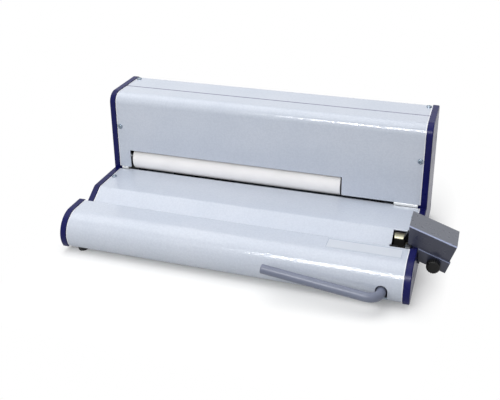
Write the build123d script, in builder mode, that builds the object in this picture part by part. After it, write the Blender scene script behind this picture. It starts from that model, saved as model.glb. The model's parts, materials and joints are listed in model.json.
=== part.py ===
from build123d import *
import os
from math import cos, radians, sin, sqrt, tan

# Coil binding machine. A motor turns a long rubber roller in the window of a tower, and the
# roller spins a plastic coil through the book that lies on the tray in front of it. A trough
# holds the coil, and a hand lever works a cut-and-crimp head at the trough's right end, under
# a tilting guard.
# Millimetres. X runs to the right, Y to the back and Z up. The origin is on the underside of
# the base plate, midway between the side plates and straight below the tower's front edge.

# Side plates: cast cheeks whose edges stand proud of the covers
inner_width = 500.0
plate_thickness = 9.5
plate_web = 4.0
plate_edge_round = 1.6
rim = 1.5
ledge_width = 3.6
ledge_thickness = 5.0
ledge_cut_height = 12.0
boss_radius = 4.4
base_boss_height = 8.0
bar_boss_radius = 9.0

# Side view, from the tower at the back to the nose at the front
tower_height = 184.0
tower_depth = 96.5
tower_bend = 18.0
rear_bend = 6.0
tray_height = 51.5
tray_flat = 72.5
slope_angle = 31.8
slope_depth = 46.0
slope_bend = 10.0
lip_bend = 4.0
hood_flat = 34.0
nose_radius = 33.0

# Cover sheets
sheet = 1.5
seam_depth = 46.0
seam_gap = 0.8
seam_flange = 10.0
flange_inset = 8.0
cover_foot_gap = 3.0
tray_tuck = 3.4
tray_notch = 3.2
tray_flange = 18.0
hood_foot_gap = 2.0
cover_lip = 2.6
front_flange = 16.0

# Clearances, and how far a cutting shape runs past what it cuts
edge_gap = 0.2
seat_gap = 0.1
hole_gap = 0.2
fit_gap = 0.05
running_gap = 0.05
face_gap = 0.3
overcut = 1.0

# Feed roller and its window
roller_inset = 23.8
roller_length = 353.0
roller_radius = 20.0
roller_setback = 22.0
roller_rise = 14.6
sleeve_wall = 4.0
core_wall = 3.0
hub_length = 12.0
shaft_radius = 6.0
shaft_chamfer = 0.8
collar_width = 8.0
collar_radius = 11.0
collar_gap = 1.0
window_gap = 3.0
window_right_gap = 2.1
window_height = 33.2

# Roller end blocks and bearings
left_block_width = 11.6
right_block_width = 36.4
block_clearance = 0.2
block_front = 4.0
block_depth = 36.0
block_height = 97.0
block_chamfer = 4.0
block_screw_edge = 6.0
shaft_hole_gap = 2.0
bearing_radius = 14.0
bearing_width = 8.0
bearing_race = 2.6
bearing_ring_depth = 0.6

# Belt drive and gear motor
pulley_gap = 19.0
pulley_side_gap = 0.4
pulley_hub_wall = 4.0
pulley_hub_length = 6.0
belt_width = 8.0
belt_thickness = 2.6
belt_gap = 0.05
flange_width = 1.6
flange_height = 3.5
roller_pulley_radius = 14.0
motor_pulley_radius = 9.0
motor_inset = 34.0
motor_bar_gap = 1.0
motor_shaft_radius = 4.0
motor_shaft_seat = 11.0
motor_shaft_end = 3.0
gearbox_radius = 27.0
gearbox_length = 31.0
motor_radius = 22.0
motor_length = 58.0
motor_round = 3.0
motor_boss_radius = 8.0
motor_boss_length = 8.0
bracket_gap = 12.0
bracket_thickness = 3.0
bracket_front = 22.0
bracket_back = 11.0
bracket_foot = 22.0
bracket_corner = 10.0
bracket_screw_edge = 8.0

# Base plate and feet
base_thickness = 3.0
base_front_gap = 3.3
foot_radius = 8.0
foot_height = 8.0
foot_taper = 7.0
foot_inset = 17.5
front_right_foot_x = 194.0
foot_front_gap = 13.0
foot_rear_gap = 18.0
front_screw_places = (-200.0, -70.0, 70.0, 172.0)
front_screw_inset = 11.5
plate_screw_front = 60.0
plate_screw_rear = 30.0

# Tie bars and their countersunk screws
bar_radius = 6.0
front_bar_reach = 33.0
front_bar_drop = 20.5
top_bar_inset = 25.0
top_bar_drop = 45.0
rear_bar_inset = 16.5
rear_bar_gap = 0.5
bar_screw_radius = 3.0
bar_screw_length = 22.0
bar_screw_head = 5.6
bar_screw_recess = 0.2
bar_tap_gap = 2.0

# Cover screws
screw_radius = 2.0
screw_head_radius = 4.0
screw_head_height = 2.4
screw_head_chamfer = 1.0
screw_length = 9.0
screw_inset = 5.6
tower_screw_drop = 57.4
top_screw_inset = 13.2
tray_screw_depth = 32.0
rear_screw_low = 30.0
rear_screw_drop = 44.0

# Hand lever: a bent steel rod in a vinyl sleeve
lever_inset = 28.3
lever_height = 15.5
lever_rod_radius = 4.5
lever_sleeve_radius = 6.5
lever_sleeve_round = 1.4
lever_reach = 18.5
lever_bend = 18.0
lever_rise = 6.6
lever_arm = 161.3
lever_tip_wall = 3.0
lever_sleeve_back = 36.0
lever_rear_end = 6.0
notch_width = 16.0
notch_rise = 9.0
notch_corner = 4.0

# Cut-and-crimp head, in an opening at the right end of the slope
crimp_opening_inset = 29.0
crimp_relief = 2.3
crimp_relief_depth = 25.5
head_floor = 2.0
head_left_inset = 46.0
head_right_inset = 8.0
head_shoulder = 4.0
head_front_reach = 29.0
head_rear_gap = 5.0
head_wall = 6.0
head_front_height = 22.5
head_rear_drop = 11.5
head_corner = 6.0
head_screw_edge = 5.0
head_screw_setbacks = (21.0, 31.0)
bush_radius = 7.0
bush_flange_radius = 9.0
bush_flange = 1.5
die_setback = 6.0
die_thickness = 8.0
die_right_inset = 16.5
die_left_gap = 1.0
die_leg = 5.0
die_drop = 8.5
die_shoulder_drop = 26.5
die_groove = 2.2
jaw_gap = 2.0
jaw_thickness = 9.0
jaw_hub_radius = 9.5
blade_thickness = 9.0
guide_left_inset = 27.0
guide_right_inset = 12.0
guide_gap = 2.0
guide_thickness = 1.0
guide_radius = 15.0
guide_drop = 4.5
spring_wire = 0.7
spring_turns = 8
spring_pitch = 2.0
spring_gap = 8.0

# The jaw's arm and blade: distance in from the right side plate, and height above the tray
jaw_profile = (
    (3.5, -14.5), (1.5, -9.5), (1.5, 9.5), (4.0, 12.5), (6.8, 12.5),
    (12.6, 0.8), (5.5, -4.0), (8.0, -7.5), (13.0, -16.5),
)
blade_profile = ((8.5, -19.5), (3.5, -16.5), (1.5, -12.5), (1.5, -5.5), (8.0, -6.5))

# Tilting guard outside the right side plate, measured from the knob along and above its slope
guard_tilt = 19.0
knob_reach = 22.8
knob_z = 31.5
guard_overlap = 4.0
guard_front_gap = 2.0
guard_rear_gap = 0.5
guard_right = 17.9
guard_top = 36.9
guard_foot = 10.0
guard_bend = 2.0
guard_rear_side_gap = 3.0
guard_rear_foot = 14.0
joggle = 2.5
guard_flange_gap = 1.2
guard_flange_right = 19.3
guard_flange_foot = -6.7
guard_hole_gap = 0.1
clamp_plate = 3.0
clamp_plate_gap = 0.2
clamp_plate_length = 25.8
clamp_plate_height = 22.0
clamp_eye_radius = 8.7
clamp_screw_edge = 5.0
clamp_screw_inset = 8.0
stud_radius = 3.0
stud_length = 24.0
washer_radius = 7.0
washer_thickness = 1.0
knob_radius = 9.4
knob_depth = 11.0
knob_round = 1.6
knob_chamfer = 0.8

# Power inlet in the rear cover
inlet_inset = 35.0
inlet_z = 35.0
inlet_width = 27.0
inlet_height = 20.0
inlet_depth = 20.0
inlet_border = 3.0
inlet_flange = 2.0
socket_width = 24.0
socket_height = 16.5
socket_depth = 16.0
socket_corner = 4.5
pin_width = 2.0
pin_height = 4.0
pin_setback = 3.0
pin_places = ((-7.0, -2.0), (0.0, 2.0), (7.0, -2.0))

# Rocker switch above the inlet
rocker_gap = 6.0
rocker_frame_width = 15.0
rocker_frame_height = 22.0
rocker_frame_depth = 17.0
rocker_frame_border = 1.0
rocker_width = 10.0
rocker_flat = 8.0
rocker_tilt = 10.0
rocker_face = 2.5
rocker_drum = 5.5
rocker_skirt = 1.0
rocker_pivot_depth = 2.0
rocker_pin_radius = 1.2
rocker_pin_gap = 2.2
rocker_well_gap = 1.0
panel_gap = 0.15

# Rear louvres
louvre_count = 9
louvre_rows = 2
louvre_width = 4.0
louvre_height = 28.0
louvre_pitch = 14.0
louvre_row_pitch = 40.0

# Control board
board_inset = 130.0
board_rear_gap = 50.0
board_width = 110.0
board_depth = 46.0
board_thickness = 1.6
standoff_height = 9.0
standoff_radius = 3.0
standoff_inset = 4.5
capacitor_radius = 4.0
capacitor_height = 18.0
capacitor_places = ((27.0, -15.0), (27.0, -2.0))
# Transformer, relay and heat sink: place along and across the board, then width, depth, height
board_blocks = (
    (-27.5, 0.0, 35.0, 32.0, 26.0),
    (13.5, 2.0, 17.0, 20.0, 15.0),
    (39.0, 0.0, 14.0, 36.0, 11.0),
)

# Worked out from the sizes above
half = inner_width / 2
plate_outer = half + plate_thickness
skin_depth = rim + sheet
floor_z = base_thickness
lip_y = -(tray_flat + slope_depth)
nose_y = lip_y - hood_flat
nose_z = tray_height - nose_radius
nose_front_y = nose_y - nose_radius
nose_foot_y = nose_y - sqrt(nose_radius**2 - nose_z**2)
valley_z = tray_height - slope_depth * tan(radians(slope_angle))
tower_face_y = rim
rear_face_y = tower_depth - rim
top_face_z = tower_height - rim
tray_face_z = tray_height - rim
lip_face_y = lip_y - rim
cover_foot_z = tray_height + cover_foot_gap
roller_left = -half + roller_inset
roller_right = roller_left + roller_length
roller_y = roller_setback
roller_z = tray_height + roller_rise
window_left = roller_left - window_gap
window_right = roller_right + window_right_gap
window_top = tray_height + window_height
left_block_x = -half + ledge_width + block_clearance
left_block_right = left_block_x + left_block_width + block_clearance
right_block_x = half - ledge_width - block_clearance - right_block_width
pulley_x = right_block_x - pulley_gap
bracket_x = pulley_x - bracket_gap
gearbox_x = bracket_x - gearbox_length
motor_end_x = gearbox_x - motor_length
motor_y = tower_depth - motor_inset
# The motor hangs just under the top tie bar
top_bar_z = tower_height - top_bar_drop
motor_z = top_bar_z - bar_radius - motor_bar_gap - gearbox_radius
bracket_front_y = motor_y - bracket_front
bracket_back_y = motor_y + bracket_back
screw_x = half - screw_inset
foot_x = half - foot_inset
foot_front_y = nose_foot_y + foot_front_gap
foot_rear_y = tower_depth - foot_rear_gap
flange_back_y = nose_foot_y + front_flange
front_screw_y = nose_foot_y + front_screw_inset
inlet_x = half - inlet_inset
inlet_top = inlet_z + inlet_height / 2
rear_bar_z = inlet_z - inlet_height / 2 - rear_bar_gap - bar_radius
rocker_z = inlet_top + inlet_border + rocker_gap + rocker_frame_height / 2
rocker_y = rear_face_y - rocker_pivot_depth
lever_x = half - lever_inset
lever_front_y = nose_front_y - lever_reach
sleeve_back_y = lever_front_y + lever_sleeve_back
crimp_left = half - crimp_opening_inset
head_top = floor_z + head_floor
head_left = half - head_left_inset
head_right = half - head_right_inset
head_front_y = lip_y - head_front_reach
head_rear_y = -tray_flat + head_rear_gap
die_front_y = lip_y + die_setback
jaw_front_y = die_front_y + die_thickness + jaw_gap
knob_x = plate_outer + knob_reach
guard_left_x = half - guard_overlap
guard_front_y = lip_y + guard_front_gap
guard_rear_y = -tray_flat + guard_rear_gap
guard_flange_y = guard_front_y - joggle
knob_back_y = guard_flange_y - face_gap
clamp_front_y = guard_flange_y + sheet + clamp_plate_gap
clamp_rear_y = clamp_front_y + clamp_plate_length
clamp_low = knob_z - clamp_plate_height / 2
clamp_high = knob_z + clamp_plate_height / 2
clamp_screw_y = clamp_rear_y - clamp_screw_inset
clamp_screw_heights = (clamp_low + clamp_screw_edge, clamp_high - clamp_screw_edge)
board_x = -half + board_inset
board_y = tower_depth - board_rear_gap
board_z = floor_z + standoff_height
board_top = board_z + board_thickness


def front_plane(y):
    """An upright plane at the given Y, with X to the right and Z up."""
    return Plane.XZ.offset(-y)


def outline_face(x, inset):
    """The machine's side view at the given X, drawn in by the inset."""
    with BuildSketch(Plane.YZ.offset(x)) as view:
        with BuildLine():
            Polyline(
                (nose_foot_y, 0),
                (tower_depth, 0),
                (tower_depth, tower_height),
                (0, tower_height),
                (0, tray_height),
                (-tray_flat, tray_height),
                (lip_y, valley_z),
                (lip_y, tray_height),
                (nose_y, tray_height),
            )
            ThreePointArc((nose_y, tray_height), (nose_front_y, nose_z), (nose_foot_y, 0))
        make_face()
        fillet(view.vertices().sort_by_distance((0, tower_height, 0))[0], radius=tower_bend)
        fillet(view.vertices().sort_by_distance((tower_depth, tower_height, 0))[0], radius=rear_bend)
        fillet(view.vertices().sort_by_distance((-tray_flat, tray_height, 0))[0], radius=slope_bend)
        fillet(view.vertices().sort_by_distance((lip_y, tray_height, 0))[0], radius=lip_bend)
        if inset > 0:
            offset(amount=-inset, kind=Kind.INTERSECTION)
    return view.sketch


def skin(regions):
    """The layer of cover sheet that follows the outline inside the (y0, y1, z0, z1) regions."""
    left = -half + edge_gap
    width = inner_width - 2 * edge_gap
    with BuildPart() as layer:
        extrude(outline_face(left, rim), amount=width)
        extrude(outline_face(left, skin_depth), amount=width, mode=Mode.SUBTRACT)
        with BuildSketch(Plane.YZ.offset(left)):
            for y0, y1, z0, z1 in regions:
                with Locations(((y0 + y1) / 2, (z0 + z1) / 2)):
                    Rectangle(y1 - y0, z1 - z0)
        extrude(amount=width, mode=Mode.INTERSECT)
    return layer.part


def block(x0, x1, y0, y1, z0, z1, mode=Mode.ADD):
    """A box between its low and high corners, in the current part."""
    with Locations(((x0 + x1) / 2, (y0 + y1) / 2, (z0 + z1) / 2)):
        Box(x1 - x0, y1 - y0, z1 - z0, mode=mode)


def rod_x(x0, x1, y, z, radius, mode=Mode.ADD):
    """A round bar or bore along X, in the current part."""
    with Locations(Location(((x0 + x1) / 2, y, z), (0, 90, 0))):
        Cylinder(radius, abs(x1 - x0), mode=mode)


def rod_y(x, y0, y1, z, radius, mode=Mode.ADD):
    """A round bar or bore along Y, in the current part."""
    with Locations(Location((x, (y0 + y1) / 2, z), (90, 0, 0))):
        Cylinder(radius, y1 - y0, mode=mode)


def rod_z(x, y, z0, z1, radius, mode=Mode.ADD):
    """A round bar or bore along Z, in the current part."""
    with Locations((x, y, (z0 + z1) / 2)):
        Cylinder(radius, z1 - z0, mode=mode)


def base_bore(x, y, top):
    """A bore for a base screw, from under the base plate up to the given height."""
    rod_z(x, y, -overcut, top, screw_radius + fit_gap, Mode.SUBTRACT)


def nearest_edge(part, x, y, z):
    """The edge of a part whose middle lies nearest to a point."""
    return part.edges().sort_by_distance((x, y, z))[0]


# Where each cover screw's head seats, and the way the head points
cover_screw_seats = [
    (side * screw_x, y, z, way)
    for side in (-1, 1)
    for y, z, way in [
        (tower_face_y, tower_height - tower_screw_drop, (0, -1, 0)),
        (tower_depth - top_screw_inset, top_face_z, (0, 0, 1)),
        (-tray_screw_depth, tray_face_z, (0, 0, 1)),
        (rear_face_y, rear_screw_low, (0, 1, 0)),
        (rear_face_y, tower_height - rear_screw_drop, (0, 1, 0)),
    ]
]

# Where each piece on the base plate is screwed down
block_screw_rows = (block_front + block_screw_edge, block_front + block_depth - block_screw_edge)
left_block_screws = [(left_block_x + left_block_width / 2, y) for y in block_screw_rows]
right_block_screws = [(right_block_x + right_block_width / 2, y) for y in block_screw_rows]
head_screws = [
    (head_left + head_screw_edge, lip_y + head_screw_setbacks[0]),
    (head_right - head_screw_edge, lip_y + head_screw_setbacks[1]),
]
bracket_screws_x = bracket_x - bracket_foot / 2
motor_screws = [
    (bracket_screws_x, bracket_front_y + bracket_screw_edge),
    (bracket_screws_x, bracket_back_y - bracket_screw_edge),
]
front_screws = [(x, front_screw_y) for x in front_screw_places]
plate_screw_rows = (-plate_screw_front, tower_depth - plate_screw_rear)
plate_base_screws = [(side * screw_x, y) for side in (-1, 1) for y in plate_screw_rows]
base_screw_seats = (
    left_block_screws + right_block_screws + head_screws + motor_screws + front_screws + plate_base_screws
)
foot_places = [
    (-foot_x, foot_front_y), (front_right_foot_x, foot_front_y),
    (-foot_x, foot_rear_y), (foot_x, foot_rear_y),
]
tie_bar_seats = {
    "front": (lip_y - front_bar_reach, tray_height - front_bar_drop),
    "top": (tower_depth - top_bar_inset, top_bar_z),
    "rear": (tower_depth - rear_bar_inset, rear_bar_z),
}


def pan_screw(x, y, z, way):
    """A pan head screw whose head stands off the seat along the given way."""
    seat = Plane(origin=(x, y, z), z_dir=way)
    with BuildPart() as screw:
        with BuildSketch(seat):
            Circle(screw_head_radius)
        extrude(amount=screw_head_height)
        chamfer(screw.faces().sort_by(Axis((x, y, z), way))[-1].edges(), length=screw_head_chamfer)
        with BuildSketch(seat):
            Circle(screw_radius)
        extrude(amount=-screw_length)
    return screw.part


def screw_bores(depth, clearance):
    """Bores for the cover screws, from their seats inward, in the current part."""
    for x, y, z, way in cover_screw_seats:
        with BuildSketch(Plane(origin=(x, y, z), z_dir=way).offset(overcut)) as bore:
            Circle(screw_radius + clearance)
        extrude(bore.sketch, amount=-(depth + overcut), mode=Mode.SUBTRACT)


def plate_body():
    """The right-hand cheek: a pocketed plate with a ledge that the covers screw down on."""
    ledge_inset = skin_depth + seat_gap
    ledge_x = half - ledge_width
    web_x = plate_outer - plate_web
    with BuildPart() as plate:
        extrude(outline_face(half, 0), amount=plate_thickness)
        fillet(plate.faces().sort_by(Axis.X)[-1].edges(), radius=plate_edge_round)
        extrude(outline_face(ledge_x, ledge_inset), amount=ledge_width)
        extrude(
            outline_face(ledge_x, ledge_inset + ledge_thickness),
            amount=web_x - ledge_x,
            mode=Mode.SUBTRACT,
        )
        for x, y, z, way in cover_screw_seats:
            if x > 0:
                with BuildSketch(Plane(origin=(x, y, z), z_dir=way).offset(-sheet - seat_gap)):
                    Circle(boss_radius)
                extrude(amount=-screw_length)
        for y in plate_screw_rows:
            rod_z(screw_x, y, floor_z, floor_z + base_boss_height, boss_radius)
        for y, z in tie_bar_seats.values():
            rod_x(half, web_x, y, z, bar_boss_radius)
            rod_x(half, plate_outer, y, z, bar_screw_radius + fit_gap, Mode.SUBTRACT)
            with BuildSketch(Plane.YZ.offset(plate_outer)):
                with Locations((y, z)):
                    Circle(bar_screw_head + fit_gap)
            extrude(amount=-(bar_screw_head - bar_screw_radius), taper=45, mode=Mode.SUBTRACT)
        screw_bores(sheet + seat_gap + screw_length + overcut, fit_gap)
        for y in plate_screw_rows:
            base_bore(screw_x, y, floor_z + base_boss_height + overcut)
    return plate.part


with BuildPart() as side_plate_left:
    add(mirror(plate_body(), about=Plane.YZ))

with BuildPart() as side_plate_right:
    add(plate_body())
    # The ledge stops short of the crimp head, which needs the room
    block(
        half - ledge_width - overcut, half, lip_y - skin_depth, -tray_flat + skin_depth,
        ledge_cut_height, tray_height, Mode.SUBTRACT,
    )
    for z in clamp_screw_heights:
        rod_x(half + overcut, plate_outer - overcut, clamp_screw_y, z, boss_radius)
        rod_x(half, plate_outer + overcut, clamp_screw_y, z, screw_radius + fit_gap, Mode.SUBTRACT)

# Covers
with BuildPart() as tower_front_cover:
    seam_front = seam_depth - seam_gap / 2
    add(skin([(-overcut, seam_front, cover_foot_z, tower_height + overcut)]))
    # The top edge turns down behind the seam
    block(
        -half + flange_inset, half - flange_inset, seam_front - sheet, seam_front,
        top_face_z - seam_flange, top_face_z - sheet,
    )
    # The window is cut from the bottom edge, in front of the roller
    block(window_left, window_right, 0, 2 * skin_depth, cover_foot_z - overcut, window_top, Mode.SUBTRACT)
    screw_bores(2 * sheet, hole_gap)

with BuildPart() as tower_rear_cover:
    seam_rear = seam_depth + seam_gap / 2
    rear_bend_z = top_face_z - 2 * rear_bend
    add(
        skin([
            (seam_rear, tower_depth, rear_bend_z, tower_height),
            (tower_depth - skin_depth, tower_depth, 0, tower_height),
        ])
    )
    block(
        -half + flange_inset, half - flange_inset, seam_rear, seam_rear + sheet,
        top_face_z - seam_flange, top_face_z - sheet,
    )
    # Cooling louvres behind the motor
    with BuildSketch(front_plane(tower_depth)):
        with Locations((gearbox_x - motor_length / 2, motor_z)):
            with GridLocations(louvre_pitch, louvre_row_pitch, louvre_count, louvre_rows):
                SlotOverall(louvre_height, louvre_width, rotation=90)
    extrude(amount=2 * skin_depth, mode=Mode.SUBTRACT)
    # Cut-outs for the power inlet and the rocker switch
    rocker_body_width = rocker_frame_width - 2 * rocker_frame_border
    rocker_body_height = rocker_frame_height - 2 * rocker_frame_border
    for z, width, height in (
        (inlet_z, inlet_width, inlet_height),
        (rocker_z, rocker_body_width, rocker_body_height),
    ):
        block(
            inlet_x - width / 2 - panel_gap, inlet_x + width / 2 + panel_gap,
            tower_depth - 2 * skin_depth, tower_depth,
            z - height / 2 - panel_gap, z + height / 2 + panel_gap,
            Mode.SUBTRACT,
        )
    screw_bores(2 * sheet, hole_gap)

with BuildPart() as tray_cover:
    add(skin([(lip_face_y + edge_gap, 0, valley_z - 2 * skin_depth, tray_height)]))
    # The rear edge runs in under the tower and turns down there
    block(-half + edge_gap, half - edge_gap, -overcut, tray_tuck, tray_face_z - sheet, tray_face_z)
    block(
        left_block_right, right_block_x - block_clearance, tray_tuck - sheet, tray_tuck,
        tray_face_z - tray_flange, tray_face_z - sheet / 2,
    )
    # Notches at its ends clear the ledges and leave the end blocks' fronts in view
    for x0, x1 in ((-half, left_block_right), (right_block_x - block_clearance, half)):
        block(x0, x1, tray_tuck - tray_notch, tower_depth, 0, tray_height, Mode.SUBTRACT)
    # Cut-out over the crimp head, open towards the right side plate, with a small relief
    block(crimp_left, half, lip_face_y, -tray_flat, 0, tray_height, Mode.SUBTRACT)
    block(
        crimp_left - crimp_relief, crimp_left, lip_face_y, lip_y + crimp_relief_depth,
        0, tray_height, Mode.SUBTRACT,
    )
    screw_bores(2 * sheet, hole_gap)

with BuildPart() as front_cover:
    lip_wall_y = lip_face_y + edge_gap
    add(
        skin([
            (nose_front_y, lip_wall_y, valley_z + hood_foot_gap, tray_height),
            (nose_front_y, nose_foot_y + cover_lip, 0, valley_z + hood_foot_gap + overcut),
        ])
    )
    # The bottom edge turns back over the base plate, which it is screwed to
    block(
        -half + flange_inset, half - flange_inset, nose_foot_y + overcut, flange_back_y,
        floor_z + seat_gap, floor_z + seat_gap + sheet,
    )
    for x, y in front_screws:
        base_bore(x, y, floor_z + 2 * sheet)
    # Notch for the hand lever, arched at the top and rounded at its bottom corners
    arch = notch_width / 2
    notch_top = lever_height + notch_rise
    corner_z = rim + notch_corner
    corner_mid = notch_corner * (1 - cos(radians(45)))
    notch_foot = arch + notch_corner
    with BuildSketch(front_plane(nose_front_y)):
        with BuildLine():
            for side in (-1, 1):
                Line((lever_x + side * arch, notch_top - arch), (lever_x + side * arch, corner_z))
                ThreePointArc(
                    (lever_x + side * arch, corner_z),
                    (lever_x + side * (arch + corner_mid), rim + corner_mid),
                    (lever_x + side * notch_foot, rim),
                )
                Line((lever_x + side * notch_foot, rim), (lever_x + side * notch_foot, -overcut))
            Line((lever_x - notch_foot, -overcut), (lever_x + notch_foot, -overcut))
            ThreePointArc(
                (lever_x - arch, notch_top - arch),
                (lever_x, notch_top),
                (lever_x + arch, notch_top - arch),
            )
        make_face()
    extrude(amount=-nose_radius, mode=Mode.SUBTRACT)

# Base plate and feet
with BuildPart() as base_plate:
    base_rear_y = tower_depth - skin_depth - edge_gap
    block(-half + edge_gap, half - edge_gap, nose_foot_y + base_front_gap, base_rear_y, 0, floor_z)
    for x, y in base_screw_seats + foot_places:
        base_bore(x, y, floor_z + overcut)

with BuildPart() as rubber_feet:
    for x, y in foot_places:
        with BuildSketch(Plane.XY):
            with Locations((x, y)):
                Circle(foot_radius)
        extrude(amount=-foot_height, taper=foot_taper)
        # A moulded stem is pressed up through the base plate
        rod_z(x, y, -overcut, floor_z, screw_radius)

# Tie bars between the side plates
tie_bars = {}
for bar_name, (bar_y, bar_z) in tie_bar_seats.items():
    tap_x = plate_outer - bar_screw_length - bar_tap_gap
    with BuildPart() as tie_bar:
        rod_x(-half, half, bar_y, bar_z, bar_radius)
        for side in (-1, 1):
            rod_x(
                side * tap_x, side * (half + overcut), bar_y, bar_z,
                bar_screw_radius + fit_gap, Mode.SUBTRACT,
            )
    tie_bars[bar_name] = tie_bar

with BuildPart() as plate_screws:
    for side in (-1, 1):
        for y, z in tie_bar_seats.values():
            seat = Plane(origin=(side * plate_outer, y, z), x_dir=(0, 1, 0), z_dir=(side, 0, 0))
            with BuildSketch(seat.offset(-bar_screw_recess)):
                Circle(bar_screw_head - bar_screw_recess)
            extrude(amount=-(bar_screw_head - bar_screw_radius), taper=45)
            with BuildSketch(seat.offset(-2 * bar_screw_recess)):
                Circle(bar_screw_radius)
            extrude(amount=-bar_screw_length)

with BuildPart() as cover_screws:
    for x, y, z, way in cover_screw_seats:
        add(pan_screw(x, y, z, way))

with BuildPart() as base_screws:
    for x, y in base_screw_seats:
        add(pan_screw(x, y, 0, (0, 0, -1)))

# End blocks that carry the roller, each with its bearing pocket on the roller's side
end_blocks = {}
for block_name, x0, width, mouth_x, inward in (
    ("left", left_block_x, left_block_width, left_block_x + left_block_width, 1),
    ("right", right_block_x, right_block_width, right_block_x, -1),
):
    with BuildPart() as end_block:
        block(x0, x0 + width, block_front, block_front + block_depth, floor_z, floor_z + block_height)
        rod_x(
            x0 - overcut, x0 + width + overcut, roller_y, roller_z,
            shaft_radius + shaft_hole_gap, Mode.SUBTRACT,
        )
        pocket_x = mouth_x - inward * (bearing_width + 2 * face_gap)
        rod_x(mouth_x, pocket_x, roller_y, roller_z, bearing_radius, Mode.SUBTRACT)
        chamfer(end_block.faces().sort_by(Axis.Z)[-1].edges().filter_by(Axis.X), length=block_chamfer)
        for x, y in left_block_screws + right_block_screws:
            if x0 < x < x0 + width:
                base_bore(x, y, screw_length + overcut)
    end_blocks[block_name] = end_block

with BuildPart() as roller_bearings:
    left_bearing_x = left_block_x + left_block_width - bearing_width - face_gap
    for x0 in (left_bearing_x, right_block_x + face_gap):
        with BuildSketch(Plane.YZ.offset(x0)):
            with Locations((roller_y, roller_z)):
                Circle(bearing_radius - fit_gap)
                Circle(shaft_radius + running_gap, mode=Mode.SUBTRACT)
        extrude(amount=bearing_width)
        # Shallow rings on both faces part the inner race from the outer one
        for face_x, way in ((x0, 1), (x0 + bearing_width, -1)):
            with BuildSketch(Plane.YZ.offset(face_x)):
                with Locations((roller_y, roller_z)):
                    Circle(bearing_radius - bearing_race)
                    Circle(shaft_radius + bearing_race, mode=Mode.SUBTRACT)
            extrude(amount=way * bearing_ring_depth, mode=Mode.SUBTRACT)

# Feed roller
with BuildPart() as roller_shaft:
    shaft_start = left_block_x + left_block_width - bearing_width - 2 * face_gap
    shaft_end = right_block_x + bearing_width + 2 * face_gap
    rod_x(shaft_start, shaft_end, roller_y, roller_z, shaft_radius)
    chamfer(roller_shaft.edges().filter_by(GeomType.CIRCLE), length=shaft_chamfer)

core_radius = roller_radius - sleeve_wall
with BuildPart() as roller_core:
    rod_x(roller_left, roller_right, roller_y, roller_z, core_radius)
    rod_x(
        roller_left + hub_length, roller_right - hub_length, roller_y, roller_z,
        core_radius - core_wall, Mode.SUBTRACT,
    )
    rod_x(
        roller_left - overcut, roller_right + overcut, roller_y, roller_z,
        shaft_radius + fit_gap, Mode.SUBTRACT,
    )

with BuildPart() as feed_roller:
    rod_x(roller_left, roller_right, roller_y, roller_z, roller_radius)
    chamfer(feed_roller.edges().filter_by(GeomType.CIRCLE), length=shaft_chamfer)
    rod_x(
        roller_left - overcut, roller_right + overcut, roller_y, roller_z,
        core_radius + fit_gap, Mode.SUBTRACT,
    )

with BuildPart() as shaft_collar:
    collar_x = roller_right + collar_gap
    rod_x(collar_x, collar_x + collar_width, roller_y, roller_z, collar_radius)
    rod_x(
        collar_x - overcut, collar_x + collar_width + overcut, roller_y, roller_z,
        shaft_radius + fit_gap, Mode.SUBTRACT,
    )


def pulley(y, z, radius, bore):
    """A flanged belt pulley on an X axis, centred on the belt."""
    groove = belt_width / 2 + pulley_side_gap
    hub_x = pulley_x - groove - pulley_hub_length
    rim_x = pulley_x + groove + flange_width
    with BuildPart() as wheel:
        rod_x(pulley_x - groove, pulley_x + groove, y, z, radius)
        for way in (-1, 1):
            near = pulley_x + way * groove
            rod_x(near, near + way * flange_width, y, z, radius + flange_height)
        rod_x(hub_x, pulley_x, y, z, bore + pulley_hub_wall)
        rod_x(hub_x - overcut, rim_x + overcut, y, z, bore + fit_gap, Mode.SUBTRACT)
    return wheel.part


with BuildPart() as roller_pulley:
    add(pulley(roller_y, roller_z, roller_pulley_radius, shaft_radius))

with BuildPart() as motor_pulley:
    add(pulley(motor_y, motor_z, motor_pulley_radius, motor_shaft_radius))

with BuildPart() as motor_shaft:
    motor_shaft_tip = pulley_x + belt_width / 2 + motor_shaft_end
    rod_x(bracket_x - motor_shaft_seat, motor_shaft_tip, motor_y, motor_z, motor_shaft_radius)
    chamfer(
        motor_shaft.edges().filter_by(GeomType.CIRCLE).sort_by(Axis.X)[-1],
        length=shaft_chamfer,
    )

with BuildPart() as drive_belt:
    for growth, mode in ((belt_gap + belt_thickness, Mode.ADD), (belt_gap, Mode.SUBTRACT)):
        with BuildSketch(Plane.YZ.offset(pulley_x - belt_width / 2)):
            with Locations((roller_y, roller_z)):
                Circle(roller_pulley_radius + growth)
            with Locations((motor_y, motor_z)):
                Circle(motor_pulley_radius + growth)
            make_hull()
        extrude(amount=belt_width, mode=mode)

with BuildPart() as gear_motor:
    rod_x(gearbox_x, bracket_x, motor_y, motor_z, gearbox_radius)
    rod_x(motor_end_x, gearbox_x, motor_y, motor_z, motor_radius)
    fillet(gear_motor.faces().sort_by(Axis.X)[0].edges(), radius=motor_round)
    rod_x(motor_end_x - motor_boss_length, motor_end_x, motor_y, motor_z, motor_boss_radius)
    rod_x(
        bracket_x - motor_shaft_seat - face_gap, bracket_x + overcut, motor_y, motor_z,
        motor_shaft_radius + running_gap, Mode.SUBTRACT,
    )

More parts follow.
